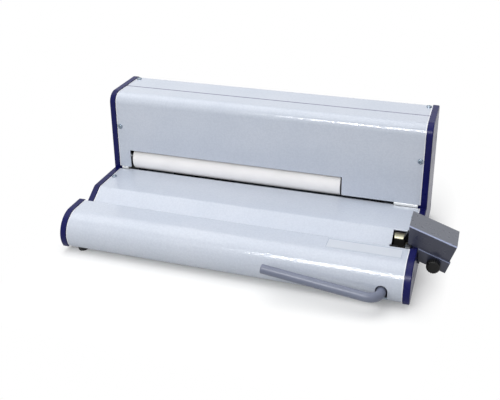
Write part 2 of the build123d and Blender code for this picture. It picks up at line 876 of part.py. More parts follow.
with BuildPart() as motor_bracket:
    block(
        bracket_x, bracket_x + bracket_thickness, bracket_front_y, bracket_back_y,
        floor_z, motor_z + gearbox_radius,
    )
    fillet(motor_bracket.edges().filter_by(Axis.X).group_by(Axis.Z)[-1], radius=bracket_corner)
    block(
        bracket_x - bracket_foot, bracket_x, bracket_front_y, bracket_back_y,
        floor_z, floor_z + bracket_thickness,
    )
    # The shaft and the pulley's hub pass through the bracket
    rod_x(
        bracket_x - overcut, bracket_x + bracket_thickness + overcut, motor_y, motor_z,
        motor_shaft_radius + pulley_hub_wall + face_gap, Mode.SUBTRACT,
    )
    for x, y in motor_screws:
        base_bore(x, y, floor_z + bracket_thickness + overcut)

# Hand lever
rise_x = cos(radians(lever_rise))
rise_z = sin(radians(lever_rise))


def lever_sweep(radius, rear_y, arm):
    """A round rod along the lever's line: forward through the notch, then up to the left."""
    corner = (lever_x, lever_front_y, lever_height)
    tip = (lever_x - arm * rise_x, lever_front_y, lever_height + arm * rise_z)
    with BuildPart() as rod:
        with BuildLine():
            route = FilletPolyline((lever_x, rear_y, lever_height), corner, tip, radius=lever_bend)
        with BuildSketch(Plane(origin=route @ 0, z_dir=route % 0)):
            Circle(radius)
        sweep()
    return rod.part


with BuildPart() as lever_rod:
    add(lever_sweep(lever_rod_radius, head_rear_y + lever_rear_end, lever_arm - lever_tip_wall))

with BuildPart() as lever_sleeve:
    add(lever_sweep(lever_sleeve_radius, sleeve_back_y, lever_arm))
    tip_edge = lever_sleeve.edges().filter_by(GeomType.CIRCLE).sort_by(Axis.X)[0]
    fillet(tip_edge, radius=lever_sleeve_round)
    add(
        lever_sweep(lever_rod_radius + fit_gap, sleeve_back_y + overcut, lever_arm - lever_tip_wall),
        mode=Mode.SUBTRACT,
    )

with BuildPart() as lever_bushes:
    for wall_y in (head_front_y, head_rear_y - head_wall):
        rod_y(lever_x, wall_y, wall_y + head_wall, lever_height, bush_radius - fit_gap)
        rod_y(lever_x, wall_y - bush_flange, wall_y, lever_height, bush_flange_radius)
        rod_y(
            lever_x, wall_y - bush_flange - overcut, wall_y + head_wall + overcut, lever_height,
            lever_rod_radius + running_gap, Mode.SUBTRACT,
        )

# Cut-and-crimp head: a frame with two walls for the lever, a fixed die and a curved guide
with BuildPart() as crimp_frame:
    block(head_left, head_right, head_front_y, head_rear_y, floor_z, head_top)
    for wall_y, wall_top in (
        (head_front_y, floor_z + head_front_height),
        (head_rear_y - head_wall, tray_height - head_rear_drop),
    ):
        block(
            head_left + head_shoulder, head_right - head_shoulder, wall_y, wall_y + head_wall,
            head_top, wall_top,
        )
    fillet(crimp_frame.edges().filter_by(Axis.Y).group_by(Axis.Z)[-1], radius=head_corner)
    rod_y(lever_x, head_front_y - overcut, head_rear_y + overcut, lever_height, bush_radius, Mode.SUBTRACT)
    for x, y in head_screws:
        base_bore(x, y, head_top + overcut)

with BuildPart() as crimp_die:
    die_left = crimp_left + die_left_gap
    die_right = half - die_right_inset
    die_top = tray_height - die_drop
    die_shoulder = tray_height - die_shoulder_drop
    with BuildSketch(front_plane(die_front_y)):
        with BuildLine():
            Polyline(
                (die_right - die_leg, head_top),
                (die_right, head_top),
                (die_right, die_top),
                (die_left, die_top),
                (die_left, die_shoulder),
                (die_right - die_leg, die_shoulder),
                close=True,
            )
        make_face()
        with Locations((die_right, die_top)):
            Circle(die_groove, mode=Mode.SUBTRACT)
    extrude(amount=-die_thickness)

with BuildPart() as guide_plate:
    guide_left = half - guide_left_inset
    guide_right = half - guide_right_inset
    guide_z = tray_height - guide_drop
    guide_front_y = jaw_front_y + jaw_thickness + guide_gap
    guide_y = guide_front_y + guide_thickness
    # A quarter round from its foot, up and back to the tray
    with BuildSketch(Plane.YZ.offset(guide_left)):
        with Locations((guide_y, guide_z)):
            Circle(guide_radius)
            Circle(guide_radius - guide_thickness, mode=Mode.SUBTRACT)
        with Locations((guide_y + guide_radius / 2, guide_z - guide_radius / 2)):
            Rectangle(guide_radius, guide_radius, mode=Mode.INTERSECT)
    extrude(amount=guide_right - guide_left)
    block(
        lever_x + lever_rod_radius + guide_gap, guide_right, guide_front_y, guide_y,
        head_top, guide_z - guide_radius + guide_thickness,
    )


def jaw_points(profile):
    """A profile's points in the upright plane, from its insets and heights."""
    return [(half - inset, tray_height + height) for inset, height in profile]


with BuildPart() as jaw_arm:
    hub_flank = jaw_hub_radius * sin(radians(55))
    hub_rise = jaw_hub_radius * cos(radians(55))
    with BuildSketch(front_plane(jaw_front_y)):
        with BuildLine():
            Polyline(
                (lever_x - hub_flank, lever_height + hub_rise),
                (lever_x + hub_rise, lever_height - hub_flank),
                *jaw_points(jaw_profile),
                close=True,
            )
        make_face()
        with Locations((lever_x, lever_height)):
            Circle(jaw_hub_radius)
            Circle(lever_rod_radius + fit_gap, mode=Mode.SUBTRACT)
    extrude(amount=-jaw_thickness)

with BuildPart() as jaw_blade:
    with BuildSketch(front_plane(jaw_front_y - blade_thickness)):
        with BuildLine():
            Polyline(*jaw_points(blade_profile), close=True)
        make_face()
    extrude(amount=-blade_thickness)

with BuildPart() as return_spring:
    coil_radius = lever_rod_radius + face_gap + spring_wire
    coil_rear_y = die_front_y - spring_gap
    with BuildLine():
        coil = Helix(
            pitch=spring_pitch, height=spring_turns * spring_pitch, radius=coil_radius,
            center=(lever_x, coil_rear_y, lever_height), direction=(0, -1, 0),
        )
    with BuildSketch(Plane(origin=coil @ 0, z_dir=coil % 0)):
        RegularPolygon(spring_wire, 6)
    sweep(is_frenet=True)

# Tilting guard
tilt_cos = cos(radians(guard_tilt))
tilt_sin = sin(radians(guard_tilt))


def tilted(along, above):
    """A point of the guard's side view, from the knob's centre along and above its slope."""
    return (
        knob_x + along * tilt_cos + above * tilt_sin,
        knob_z - along * tilt_sin + above * tilt_cos,
    )


def at_x(x, above):
    """The point at a given X on a line that runs parallel to the guard's slope."""
    along = (x - knob_x - above * tilt_sin) / tilt_cos
    return tilted(along, above)


with BuildPart() as guard_cover:
    front_inner = guard_front_y + sheet
    rear_left_x = plate_outer + guard_rear_side_gap
    flange_left_x = plate_outer + guard_flange_gap
    # Top, front, rear, the joggle at the front's foot, and the flange that the knob clamps
    for low, high, left, right, y0, y1 in (
        (guard_top - sheet, guard_top, guard_left_x, guard_right, guard_front_y, guard_rear_y),
        (guard_foot, guard_top, guard_left_x, guard_right, guard_front_y, front_inner),
        (guard_rear_foot, guard_top, rear_left_x, guard_right, guard_rear_y - sheet, guard_rear_y),
        (guard_foot, guard_foot + sheet, flange_left_x, guard_flange_right, guard_flange_y, front_inner),
        (guard_flange_foot, guard_foot + sheet, flange_left_x, guard_flange_right,
         guard_flange_y, guard_flange_y + sheet),
    ):
        right_edge = (tilted(right, high), tilted(right, low))
        with BuildSketch(front_plane(y0)):
            with BuildLine():
                Polyline(at_x(left, high), *right_edge, at_x(left, low), close=True)
            make_face()
        extrude(amount=-(y1 - y0))
    bend_x, bend_z = tilted(0, guard_top)
    fillet(nearest_edge(guard_cover, bend_x, guard_front_y, bend_z), radius=guard_bend)
    rod_y(
        knob_x, guard_flange_y - overcut, guard_flange_y + sheet + overcut, knob_z,
        stud_radius + guard_hole_gap, Mode.SUBTRACT,
    )

with BuildPart() as clamp_bracket:
    with BuildSketch(front_plane(clamp_front_y)):
        with Locations((plate_outer + clamp_plate / 2, knob_z)):
            Rectangle(clamp_plate, clamp_plate_height)
        with Locations((knob_x, knob_z)):
            Circle(clamp_eye_radius)
        make_hull()
        with Locations((knob_x, knob_z)):
            Circle(stud_radius + running_gap, mode=Mode.SUBTRACT)
    extrude(amount=-clamp_plate)
    block(plate_outer, plate_outer + clamp_plate, clamp_front_y, clamp_rear_y, clamp_low, clamp_high)
    for z in clamp_screw_heights:
        rod_x(
            plate_outer - overcut, plate_outer + clamp_plate + overcut, clamp_screw_y, z,
            screw_radius + hole_gap, Mode.SUBTRACT,
        )

with BuildPart() as bracket_screws:
    for z in clamp_screw_heights:
        add(pan_screw(plate_outer + clamp_plate, clamp_screw_y, z, (1, 0, 0)))

# Knob and its stud
with BuildPart() as clamp_stud:
    stud_front_y = knob_back_y - knob_depth / 2
    rod_y(knob_x, stud_front_y, stud_front_y + stud_length, knob_z, stud_radius)

with BuildPart() as clamp_washer:
    washer_front_y = knob_back_y - washer_thickness
    rod_y(knob_x, washer_front_y, knob_back_y, knob_z, washer_radius)
    rod_y(
        knob_x, washer_front_y - overcut, knob_back_y + overcut, knob_z,
        stud_radius + fit_gap, Mode.SUBTRACT,
    )

with BuildPart() as clamp_knob:
    knob_front_y = washer_front_y - knob_depth
    rod_y(knob_x, knob_front_y, washer_front_y, knob_z, knob_radius)
    fillet(clamp_knob.faces().sort_by(Axis.Y)[0].edges(), radius=knob_round)
    chamfer(clamp_knob.faces().sort_by(Axis.Y)[-1].edges(), length=knob_chamfer)
    rod_y(
        knob_x, stud_front_y, knob_back_y, knob_z,
        stud_radius + fit_gap, Mode.SUBTRACT,
    )

# Power inlet and rocker switch
with BuildPart() as power_inlet:
    for grow, y0, y1 in (
        (0, rear_face_y - inlet_depth, rear_face_y),
        (inlet_border, rear_face_y, rear_face_y + inlet_flange),
    ):
        block(
            inlet_x - inlet_width / 2 - grow, inlet_x + inlet_width / 2 + grow, y0, y1,
            inlet_z - inlet_height / 2 - grow, inlet_top + grow,
        )
    with BuildSketch(front_plane(rear_face_y + inlet_flange)) as socket:
        with Locations((inlet_x, inlet_z)):
            Rectangle(socket_width, socket_height)
        chamfer(socket.vertices().group_by(Axis.Y)[-1], length=socket_corner)
    extrude(amount=socket_depth, mode=Mode.SUBTRACT)

with BuildPart() as inlet_pins:
    socket_floor_y = rear_face_y + inlet_flange - socket_depth
    for x, z in pin_places:
        block(
            inlet_x + x - pin_width / 2, inlet_x + x + pin_width / 2,
            socket_floor_y, rear_face_y + inlet_flange - pin_setback,
            inlet_z + z - pin_height / 2, inlet_z + z + pin_height / 2,
        )

with BuildPart() as rocker_frame:
    for border, y0, y1 in (
        (rocker_frame_border, rear_face_y - rocker_frame_depth, rear_face_y),
        (0, rear_face_y, rear_face_y + inlet_flange),
    ):
        block(
            inlet_x - rocker_frame_width / 2 + border, inlet_x + rocker_frame_width / 2 - border, y0, y1,
            rocker_z - rocker_frame_height / 2 + border, rocker_z + rocker_frame_height / 2 - border,
        )
    well_half = rocker_flat + rocker_well_gap
    block(
        inlet_x - rocker_width / 2 - face_gap, inlet_x + rocker_width / 2 + face_gap,
        rocker_y - rocker_drum - overcut, rear_face_y + inlet_flange + overcut,
        rocker_z - well_half, rocker_z + well_half, Mode.SUBTRACT,
    )
    pin_end = rocker_frame_width / 2 - rocker_pin_gap
    rod_x(
        inlet_x - pin_end - edge_gap, inlet_x + pin_end + edge_gap, rocker_y, rocker_z,
        rocker_pin_radius + running_gap, Mode.SUBTRACT,
    )

with BuildPart() as power_rocker:
    # Two flats that meet in a shallow valley; at rest the lower one is pressed in
    tip_out = rocker_face + rocker_flat * sin(radians(rocker_tilt))
    tip_up = rocker_flat * cos(radians(rocker_tilt))
    with BuildSketch(Plane.YZ.offset(inlet_x - rocker_width / 2)):
        with Locations((rocker_y, rocker_z)):
            Polygon(
                (rocker_face, 0),
                (tip_out, tip_up),
                (-rocker_skirt, tip_up - rocker_skirt),
                (-rocker_drum, 0),
                (-rocker_skirt, -tip_up + rocker_skirt),
                (tip_out, -tip_up),
                rotation=-rocker_tilt,
                align=None,
            )
    extrude(amount=rocker_width)
    rod_x(inlet_x - pin_end, inlet_x + pin_end, rocker_y, rocker_z, rocker_pin_radius)

# Control board
with BuildPart() as control_board:
    block(
        board_x - board_width / 2, board_x + board_width / 2,
        board_y - board_depth / 2, board_y + board_depth / 2,
        board_z, board_top,
    )

with BuildPart() as board_parts:
    for x, y, width, depth, height in board_blocks:
        with Locations((board_x + x, board_y + y, board_top + height / 2)):
            Box(width, depth, height)
    for x, y in capacitor_places:
        rod_z(board_x + x, board_y + y, board_top, board_top + capacitor_height, capacitor_radius)

with BuildPart() as board_standoffs:
    with BuildSketch(Plane.XY.offset(floor_z)):
        with Locations((board_x, board_y)):
            with GridLocations(board_width - 2 * standoff_inset, board_depth - 2 * standoff_inset, 2, 2):
                RegularPolygon(standoff_radius, 6)
    extrude(amount=standoff_height)

pieces = {
    "side_plate_left": side_plate_left,
    "side_plate_right": side_plate_right,
    "tower_front_cover": tower_front_cover,
    "tower_rear_cover": tower_rear_cover,
    "tray_cover": tray_cover,
    "front_cover": front_cover,
    "base_plate": base_plate,
    "rubber_feet": rubber_feet,
    "tie_bar_front": tie_bars["front"],
    "tie_bar_top": tie_bars["top"],
    "tie_bar_rear": tie_bars["rear"],
    "plate_screws": plate_screws,
    "cover_screws": cover_screws,
    "base_screws": base_screws,
    "end_block_left": end_blocks["left"],
    "end_block_right": end_blocks["right"],
    "roller_bearings": roller_bearings,
    "roller_shaft": roller_shaft,
    "roller_core": roller_core,
    "feed_roller": feed_roller,
    "shaft_collar": shaft_collar,
    "roller_pulley": roller_pulley,
    "motor_pulley": motor_pulley,
    "motor_shaft": motor_shaft,
    "drive_belt": drive_belt,
    "gear_motor": gear_motor,
    "motor_bracket": motor_bracket,
    "lever_rod": lever_rod,
    "lever_sleeve": lever_sleeve,
    "lever_bushes": lever_bushes,
    "crimp_frame": crimp_frame,
    "crimp_die": crimp_die,
    "guide_plate": guide_plate,
    "jaw_arm": jaw_arm,
    "jaw_blade": jaw_blade,
    "return_spring": return_spring,
    "guard_cover": guard_cover,
    "clamp_bracket": clamp_bracket,
    "bracket_screws": bracket_screws,
    "clamp_stud": clamp_stud,
    "clamp_washer": clamp_washer,
    "clamp_knob": clamp_knob,
    "power_inlet": power_inlet,
    "inlet_pins": inlet_pins,
    "rocker_frame": rocker_frame,
    "power_rocker": power_rocker,
    "control_board": control_board,
    "board_parts": board_parts,
    "board_standoffs": board_standoffs,
}
os.makedirs("parts", exist_ok=True)
for label, piece in pieces.items():
    piece.part.label = label
    export_step(piece.part, f"parts/{label}.step")
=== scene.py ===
"""The looks of a coil binding machine: a powered roller in a tower over a tray, with a coil
trough, a hand lever that works a cut-and-crimp head, and a tilting guard.

Everything is in metres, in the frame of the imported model: X to the right, Y to the back, Z up.
The zones of colour and the badge's outline are set out in millimetres.
"""
import json
from math import cos, pi, radians, sin, tan

import bmesh
import bpy
import numpy as np
from mathutils import Matrix, Vector


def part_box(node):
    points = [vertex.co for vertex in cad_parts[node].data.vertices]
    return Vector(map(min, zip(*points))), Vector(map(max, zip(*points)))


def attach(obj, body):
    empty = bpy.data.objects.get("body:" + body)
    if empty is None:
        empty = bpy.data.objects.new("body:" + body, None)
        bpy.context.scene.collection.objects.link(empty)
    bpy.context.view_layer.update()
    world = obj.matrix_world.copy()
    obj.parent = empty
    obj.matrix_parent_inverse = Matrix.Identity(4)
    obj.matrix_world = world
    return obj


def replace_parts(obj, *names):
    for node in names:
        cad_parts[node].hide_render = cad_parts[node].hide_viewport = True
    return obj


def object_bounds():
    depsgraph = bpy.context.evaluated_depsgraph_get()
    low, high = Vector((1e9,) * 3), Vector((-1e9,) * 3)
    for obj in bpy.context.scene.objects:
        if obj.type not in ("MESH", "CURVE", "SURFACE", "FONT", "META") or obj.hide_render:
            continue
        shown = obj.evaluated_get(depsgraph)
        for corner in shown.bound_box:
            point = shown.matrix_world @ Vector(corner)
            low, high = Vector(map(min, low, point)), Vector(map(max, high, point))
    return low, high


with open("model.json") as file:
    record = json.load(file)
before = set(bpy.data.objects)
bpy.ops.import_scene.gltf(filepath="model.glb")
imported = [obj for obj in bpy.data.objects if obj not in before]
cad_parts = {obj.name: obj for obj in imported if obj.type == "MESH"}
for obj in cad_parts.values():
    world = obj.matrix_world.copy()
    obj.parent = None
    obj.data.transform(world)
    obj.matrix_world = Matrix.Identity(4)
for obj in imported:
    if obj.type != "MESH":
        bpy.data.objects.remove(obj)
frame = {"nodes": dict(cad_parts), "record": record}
cad_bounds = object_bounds()
cad_nodes = frame["nodes"]
body_of = {n: b for b, members in frame["record"]["behaviour"]["bodies"].items() for n in members}
slot_of = {row["node"]: row["material_slot"] for row in frame["record"]["subparts"]}
MM = 0.001
rng = np.random.default_rng(11)


# Materials

def linear(hex_colour):
    """An sRGB hex colour as linear red, green, blue and alpha."""
    channels = [int(hex_colour[i:i + 2], 16) / 255 for i in (1, 3, 5)]
    return [c / 12.92 if c <= 0.04045 else ((c + 0.055) / 1.055) ** 2.4 for c in channels] + [1.0]


def set_inputs(tree, node, inputs):
    """Gives each input, by its name or number, a value, or links it to the socket given for it."""
    for name, value in inputs.items():
        if isinstance(value, bpy.types.NodeSocket):
            tree.links.new(value, node.inputs[name])
        else:
            node.inputs[name].default_value = value


def add_node(tree, kind, inputs, output=0, **settings):
    """Adds one shader node with its settings and links, and gives one of its outputs. The inputs are
    a list in the node's own order, or go by name or number. A Map Range's list is its value, the
    range that it comes from and the range that it goes to. A colour Mix has its factor at 0 and its
    colours at 6 and 7, and its result is output 2."""
    made = tree.nodes.new("ShaderNode" + kind)
    for name, value in settings.items():
        setattr(made, name, value)
    set_inputs(tree, made, inputs if isinstance(inputs, dict) else dict(enumerate(inputs)))
    return made.outputs[output]


def new_material(name):
    """A material that starts from the plain Principled shader."""
    made = bpy.data.materials.new(name)
    made.use_nodes = True
    return made


def parts_of(material):
    """A material's node tree, its Principled shader, and the object coordinates."""
    tree = material.node_tree
    return tree, tree.nodes["Principled BSDF"], add_node(tree, "TexCoord", [], "Object")


def inside_box(tree, place, low, high, soft=0.15):
    """1 inside the box between two corners in millimetres, and 0 outside it. The largest of the three
    distances past the box's faces is mapped over the width of its soft edge."""
    middle = [(a + b) / 2 * MM for a, b in zip(low, high)]
    half = [(b - a) / 2 * MM for a, b in zip(low, high)]
    off = add_node(tree, "VectorMath", [place, middle], operation="SUBTRACT")
    off = add_node(tree, "VectorMath", [off], operation="ABSOLUTE")
    off = add_node(tree, "VectorMath", [off, half], operation="SUBTRACT")
    past_x, past_y, past_z = add_node(tree, "SeparateXYZ", [off]).node.outputs
    past = add_node(tree, "Math", [past_x, past_y], operation="MAXIMUM")
    past = add_node(tree, "Math", [past, past_z], operation="MAXIMUM")
    return add_node(tree, "MapRange", [past, -soft * MM, soft * MM, 1, 0])


def recolour(tree, shader, zones):
    """Lays further colours over the base colour: each zone is a factor and an sRGB hex colour."""
    colour = shader.inputs["Base Color"].links[0].from_socket
    for factor, hex_colour in zones:
        colour = add_node(tree, "Mix", {0: factor, 6: colour, 7: linear(hex_colour)}, 2, data_type="RGBA")
    set_inputs(tree, shader, {"Base Color": colour})


def paint_or_plastic(name, colour, shade, roughness, grain, depth, gloss_level=0.5):
    """A painted or moulded finish with faint blotches, uneven gloss, and a grain of the given size
    that is raised by the given depth."""
    made = new_material(name)
    tree, shader, place = parts_of(made)
    blotch, patch = 40 * MM, 8 * MM
    broad = add_node(tree, "TexNoise", {"Vector": place, "Scale": 1 / blotch, "Detail": 3})
    spread = add_node(tree, "MapRange", [broad, 0.3, 0.7, 0, 1])
    tint = add_node(tree, "Mix", {0: spread, 6: linear(colour), 7: linear(shade)}, 2, data_type="RGBA")
    uneven = add_node(tree, "TexNoise", {"Vector": place, "Scale": 1 / patch, "Detail": 4})
    gloss = add_node(tree, "MapRange", [uneven, 0.3, 0.7, roughness - 0.05, roughness + 0.05])
    fine = add_node(tree, "TexNoise", {"Vector": place, "Scale": 1 / grain, "Detail": 3})
    raised = add_node(tree, "Bump", {"Height": fine, "Strength": 1.0, "Distance": depth})
    set_inputs(tree, shader, {
        "Base Color": tint, "Roughness": gloss, "Normal": raised, "Specular IOR Level": gloss_level,
    })
    return made


def metal(name, colour, shade, roughness, streak, depth, stretch=(1, 1, 1)):
    """A bare metal whose polish varies in streaks of the given size and depth. A small share in
    stretch lengthens them along that axis."""
    made = new_material(name)
    tree, shader, place = parts_of(made)
    drawn = add_node(tree, "Mapping", {"Vector": place, "Scale": stretch})
    lines = add_node(tree, "TexNoise", {"Vector": drawn, "Scale": 1 / streak, "Detail": 5, "Roughness": 0.6})
    spread = add_node(tree, "MapRange", [lines, 0.3, 0.7, 0, 1])
    tint = add_node(tree, "Mix", {0: spread, 6: linear(colour), 7: linear(shade)}, 2, data_type="RGBA")
    gloss = add_node(tree, "MapRange", [lines, 0.25, 0.75, roughness - 0.08, roughness + 0.1])
    raised = add_node(tree, "Bump", {"Height": lines, "Strength": 1.0, "Distance": depth})
    set_inputs(tree, shader, {"Metallic": 1.0, "Base Color": tint, "Roughness": gloss, "Normal": raised})
    return made


def hammered_enamel():
    """Hammer-finish stove enamel on steel sheet: shallow dimples about 3 mm wide that break a
    reflection into short glints, a painted highlight along the cut ends, and a painted shade
    line along the seam on top of the tower."""
    made = new_material("hammered_enamel")
    tree, shader, place = parts_of(made)
    dimple_size, dimple_depth, ripple_size, blotch = 2.7 * MM, 0.11 * MM, 6 * MM, 90 * MM
    wander_size, wander_reach = 3.2 * MM, 1.6 * MM
    wander = add_node(tree, "TexNoise", {"Vector": place, "Scale": 1 / wander_size, "Detail": 1}, "Color")
    bent = add_node(tree, "VectorMath", [wander, (wander_reach,) * 3, place], operation="MULTIPLY_ADD")
    cells = add_node(
        tree, "TexVoronoi", {"Vector": bent, "Scale": 1 / dimple_size, "Smoothness": 0.6}, "Distance",
        feature="SMOOTH_F1")
    dimples = add_node(tree, "MapRange", [cells, 0.1, 0.75, 0, 1])
    ripple = add_node(tree, "TexNoise", {"Vector": place, "Scale": 1 / ripple_size, "Detail": 2})
    height = add_node(tree, "Math", [dimples, ripple], operation="ADD")
    raised = add_node(tree, "Bump", {"Height": height, "Strength": 1.0, "Distance": dimple_depth})
    gloss = add_node(tree, "MapRange", [ripple, 0.3, 0.7, 0.15, 0.21])

    broad = add_node(tree, "TexNoise", {"Vector": place, "Scale": 1 / blotch, "Detail": 3})
    spread = add_node(tree, "MapRange", [broad, 0.35, 0.65, 0, 1])
    body = add_node(
        tree, "Mix", {0: spread, 6: linear("#C9CFDA"), 7: linear("#C4CBD7")}, 2, data_type="RGBA")
    set_inputs(tree, shader, {"Base Color": body, "Roughness": gloss, "Normal": raised})
    speck = add_node(tree, "MapRange", [dimples, 0.2, 0.95, 0, 0.2])

    # The covers' cut ends stand furthest from the middle of the machine; a painted highlight is laid along
    # them
    end_from, end_to = 247.9 * MM, 248.9 * MM
    along, across, _ = add_node(tree, "SeparateXYZ", [place]).node.outputs
    out = add_node(tree, "Math", [along], operation="ABSOLUTE")
    ends = add_node(tree, "MapRange", [out, end_from, end_to, 0, 0.9])

    # The seam's place behind the origin, and the reach of the painted shade from it
    seam_y, seam_shade_full, seam_shade_gone = 46.0 * MM, 0.8 * MM, 1.9 * MM
    off_seam = add_node(tree, "Math", [across, seam_y], operation="SUBTRACT")
    off_seam = add_node(tree, "Math", [off_seam], operation="ABSOLUTE")
    seam_shade = add_node(tree, "MapRange", [off_seam, seam_shade_full, seam_shade_gone, 0.9, 0])
    # Lays on the specks, the painted highlight along the cut ends and the painted shade along the seam
    recolour(tree, shader, [(speck, "#ABB3C2"), (ends, "#FBFCFE"), (seam_shade, "#686684")])
    return made


def silicone_rubber():
    """Ground silicone rubber on the feed roller: warm white, dull, with fine turning marks."""
    made = new_material("silicone_rubber")
    tree, shader, place = parts_of(made)
    mark, mark_depth, smudge_size = 1.2 * MM, 0.02 * MM, 60 * MM
    # Drawn out fifty times round the roller, so that the marks run as rings
    rings = add_node(tree, "Mapping", {"Vector": place, "Scale": (1.0, 0.02, 0.02)})
    marks = add_node(tree, "TexNoise", {"Vector": rings, "Scale": 1 / mark, "Detail": 4, "Roughness": 0.6})
    broad = add_node(tree, "TexNoise", {"Vector": place, "Scale": 1 / smudge_size, "Detail": 4})
    smudge = add_node(tree, "MapRange", [broad, 0.35, 0.7, 0, 1])
    tint = add_node(
        tree, "Mix", {0: smudge, 6: linear("#FAF8F7"), 7: linear("#F2F0EF")}, 2, data_type="RGBA")
    gloss = add_node(tree, "MapRange", [marks, 0.3, 0.7, 0.5, 0.62])
    raised = add_node(tree, "Bump", {"Height": marks, "Strength": 1.0, "Distance": mark_depth})
    set_inputs(tree, shader, {
        "Base Color": tint, "Roughness": gloss, "Normal": raised, "Sheen Weight": 0.15,
    })
    return made


# A grain or streak that is too fine to show is drawn coarser than the real one, as large as it
# needs to be
finishes = {
    "cover_paint": hammered_enamel(),
    # Semi-gloss stove enamel over a cast surface, which shows as a soft orange peel
    "plate_paint": paint_or_plastic(
        "navy_enamel", "#101354", "#0E104A", 0.3, 1.6 * MM, 0.03 * MM, gloss_level=0.16),
    # Zinc plate on pressed heads: a bluish, slightly cloudy shine
    "zinc": metal("bright_zinc_plate", "#98A4B0", "#84909C", 0.3, 3 * MM, 0.004 * MM),
    # Ground steel: pale, with fine marks across the bar
    "steel": metal("ground_steel", "#B9BBBD", "#A3A5A8", 0.28, 2 * MM, 0.004 * MM, (1, 0.05, 1)),
    # Tool steel blackened in oil: almost black, with an oily gloss
    "tool_steel": metal("blackened_steel", "#1D1D20", "#111113", 0.4, 4 * MM, 0.01 * MM),
    # Yellow zinc plate: straw-coloured and rather dull
    "plated_guide": metal("yellow_zinc_plate", "#C9C8B4", "#B4B094", 0.5, 3 * MM, 0.004 * MM),
    # Milled aluminium: near white, dulled by the cutter's marks
    "block_alloy": metal(
        "milled_aluminium", "#F4F4F2", "#E6E7E5", 0.5, 1.5 * MM, 0.006 * MM, (1, 0.08, 1)),
    "roller_rubber": silicone_rubber(),
    # Moulded rubber: black and dull
    "foot_rubber": paint_or_plastic("black_rubber", "#17171A", "#101012", 0.7, 0.8 * MM, 0.03 * MM),
    # Moulded neoprene: black, with a faint gloss from handling
    "belt_rubber": paint_or_plastic("neoprene", "#1C1C1E", "#141416", 0.65, 0.9 * MM, 0.03 * MM),
    # Soft vinyl tube drawn over the rod, slightly glossy, with the faint waves of extrusion
    "lever_vinyl": paint_or_plastic("extruded_vinyl", "#73798C", "#6C7285", 0.4, 2.2 * MM, 0.02 * MM),
    # Satin paint on bent sheet: smooth, with a broad soft shine
    "guard_paint": paint_or_plastic(
        "satin_grey_paint", "#323547", "#2F3242", 0.3, 0.9 * MM, 0.003 * MM, gloss_level=0.6),
    # Moulded phenolic: black, with a low gloss that age has dulled
    "knob_plastic": paint_or_plastic(
        "phenolic_moulding", "#0A0A09", "#070707", 0.4, 0.7 * MM, 0.01 * MM, gloss_level=0.25),
    # Moulded ABS: black, with the fine grain of an eroded mould
    "black_plastic": paint_or_plastic("moulded_abs", "#1B1B1D", "#161618", 0.45, 0.5 * MM, 0.012 * MM),
    # Sintered bronze: warm brown, matt from its pores
    "bronze": metal("sintered_bronze", "#B8926A", "#9C7850", 0.45, 1.2 * MM, 0.01 * MM),
    # Plated brass: pale yellow and bright
    "contact_brass": metal("plated_brass", "#D9C58E", "#C8B076", 0.25, 2 * MM, 0.003 * MM),
    # Glass-epoxy laminate under green lacquer: even and rather glossy
    "board": paint_or_plastic("glass_epoxy_board", "#1E5A38", "#19502F", 0.35, 1.1 * MM, 0.01 * MM),
    # Potted and moulded components: black, without a shine
    "board_black": paint_or_plastic("potted_components", "#242426", "#1B1B1D", 0.5, 0.8 * MM, 0.01 * MM),
}
# The printed plate on the hood, bare: a satin film, a shade paler than the enamel around it
badge_film = paint_or_plastic("satin_label_film", "#CCD1DA", "#C8CED7", 0.4, 0.7 * MM, 0.006 * MM)


# Zones of colour, in millimetres

def paint_guard_light():
    """The guard's top is painted lighter, as painted light from above, and a painted highlight runs
    along each of its two bends. Turned back by the guard's slope, each zone is a box."""
    tree, shader, place = parts_of(finishes["guard_paint"])
    slope, flange_reach = 19.0, 2.4
    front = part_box("guard_cover")[0].y / MM + flange_reach
    left, right, behind = 150, 350, -60
    top_low, top_high = 157.2, 160
    bend_low, bend_high = 156.9, 158.4
    flange_front, flange_rear, flange_low, flange_high = -121, -117.6, 131.9, 133.0
    turned_back = (0.0, radians(-slope), 0.0)
    along = add_node(tree, "Mapping", {"Vector": place, "Rotation": turned_back})
    top = inside_box(tree, along, (left, front + 0.5, top_low), (right, behind, top_high))
    bend = inside_box(tree, along, (left, front - 1, bend_low), (right, front + 1.6, bend_high), 0.25)
    flange = inside_box(
        tree, along, (left, flange_front, flange_low), (right, flange_rear, flange_high), 0.3)
    # Painted light on the top, and painted highlights along the top bend and the flange's bend
    recolour(tree, shader, [(top, "#62656F"), (bend, "#A6AFCE"), (flange, "#8790B0")])


def paint_roller_end_shade():
    """Painted shade over the roller's right end, which lies in black shadow inside the window's edge."""
    tree, shader, place = parts_of(finishes["roller_rubber"])
    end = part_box("feed_roller")[1].x / MM
    # Painted shade: near black over the roller's right end
    recolour(tree, shader, [(inside_box(tree, place, (end - 0.5, -100, 0), (end + 5, 100, 200)), "#0C0C0C")])


def paint_guide_shade():
    """Painted shade on the curved guide: brown-grey over its upper, rear end, and black over its foot, which
    lies in shadow.
    """
    tree, shader, place = parts_of(finishes["plated_guide"])
    left, right, front, rear = 200, 250, -120, -60
    rear_shade_from, rear_shade_to, foot_shade_to = 45.8, 60, 39.2
    brown = inside_box(tree, place, (left, front, rear_shade_from), (right, rear, rear_shade_to), 0.5)
    black = inside_box(tree, place, (left, front, 0), (right, rear, foot_shade_to), 0.4)
    # Painted shade on the rear end and on the foot
    recolour(tree, shader, [(brown, "#7B7468"), (black, "#101010")])


def brighten_cutting_edges():
    """The die and the blade are ground bright along their cutting edges."""
    tree, shader, place = parts_of(finishes["tool_steel"])
    die_edge = (232.6, -113, 42.2), (234, -104, 44)
    blade_edge = (241.2, -112, 45.2), (242.4, -102, 47)
    recolour(tree, shader, [(inside_box(tree, place, *edge), "#F2F1EE") for edge in (die_edge, blade_edge)])


badge_left, badge_right, badge_front, badge_rear = 137.0, 242.0, -149.4, -125.7


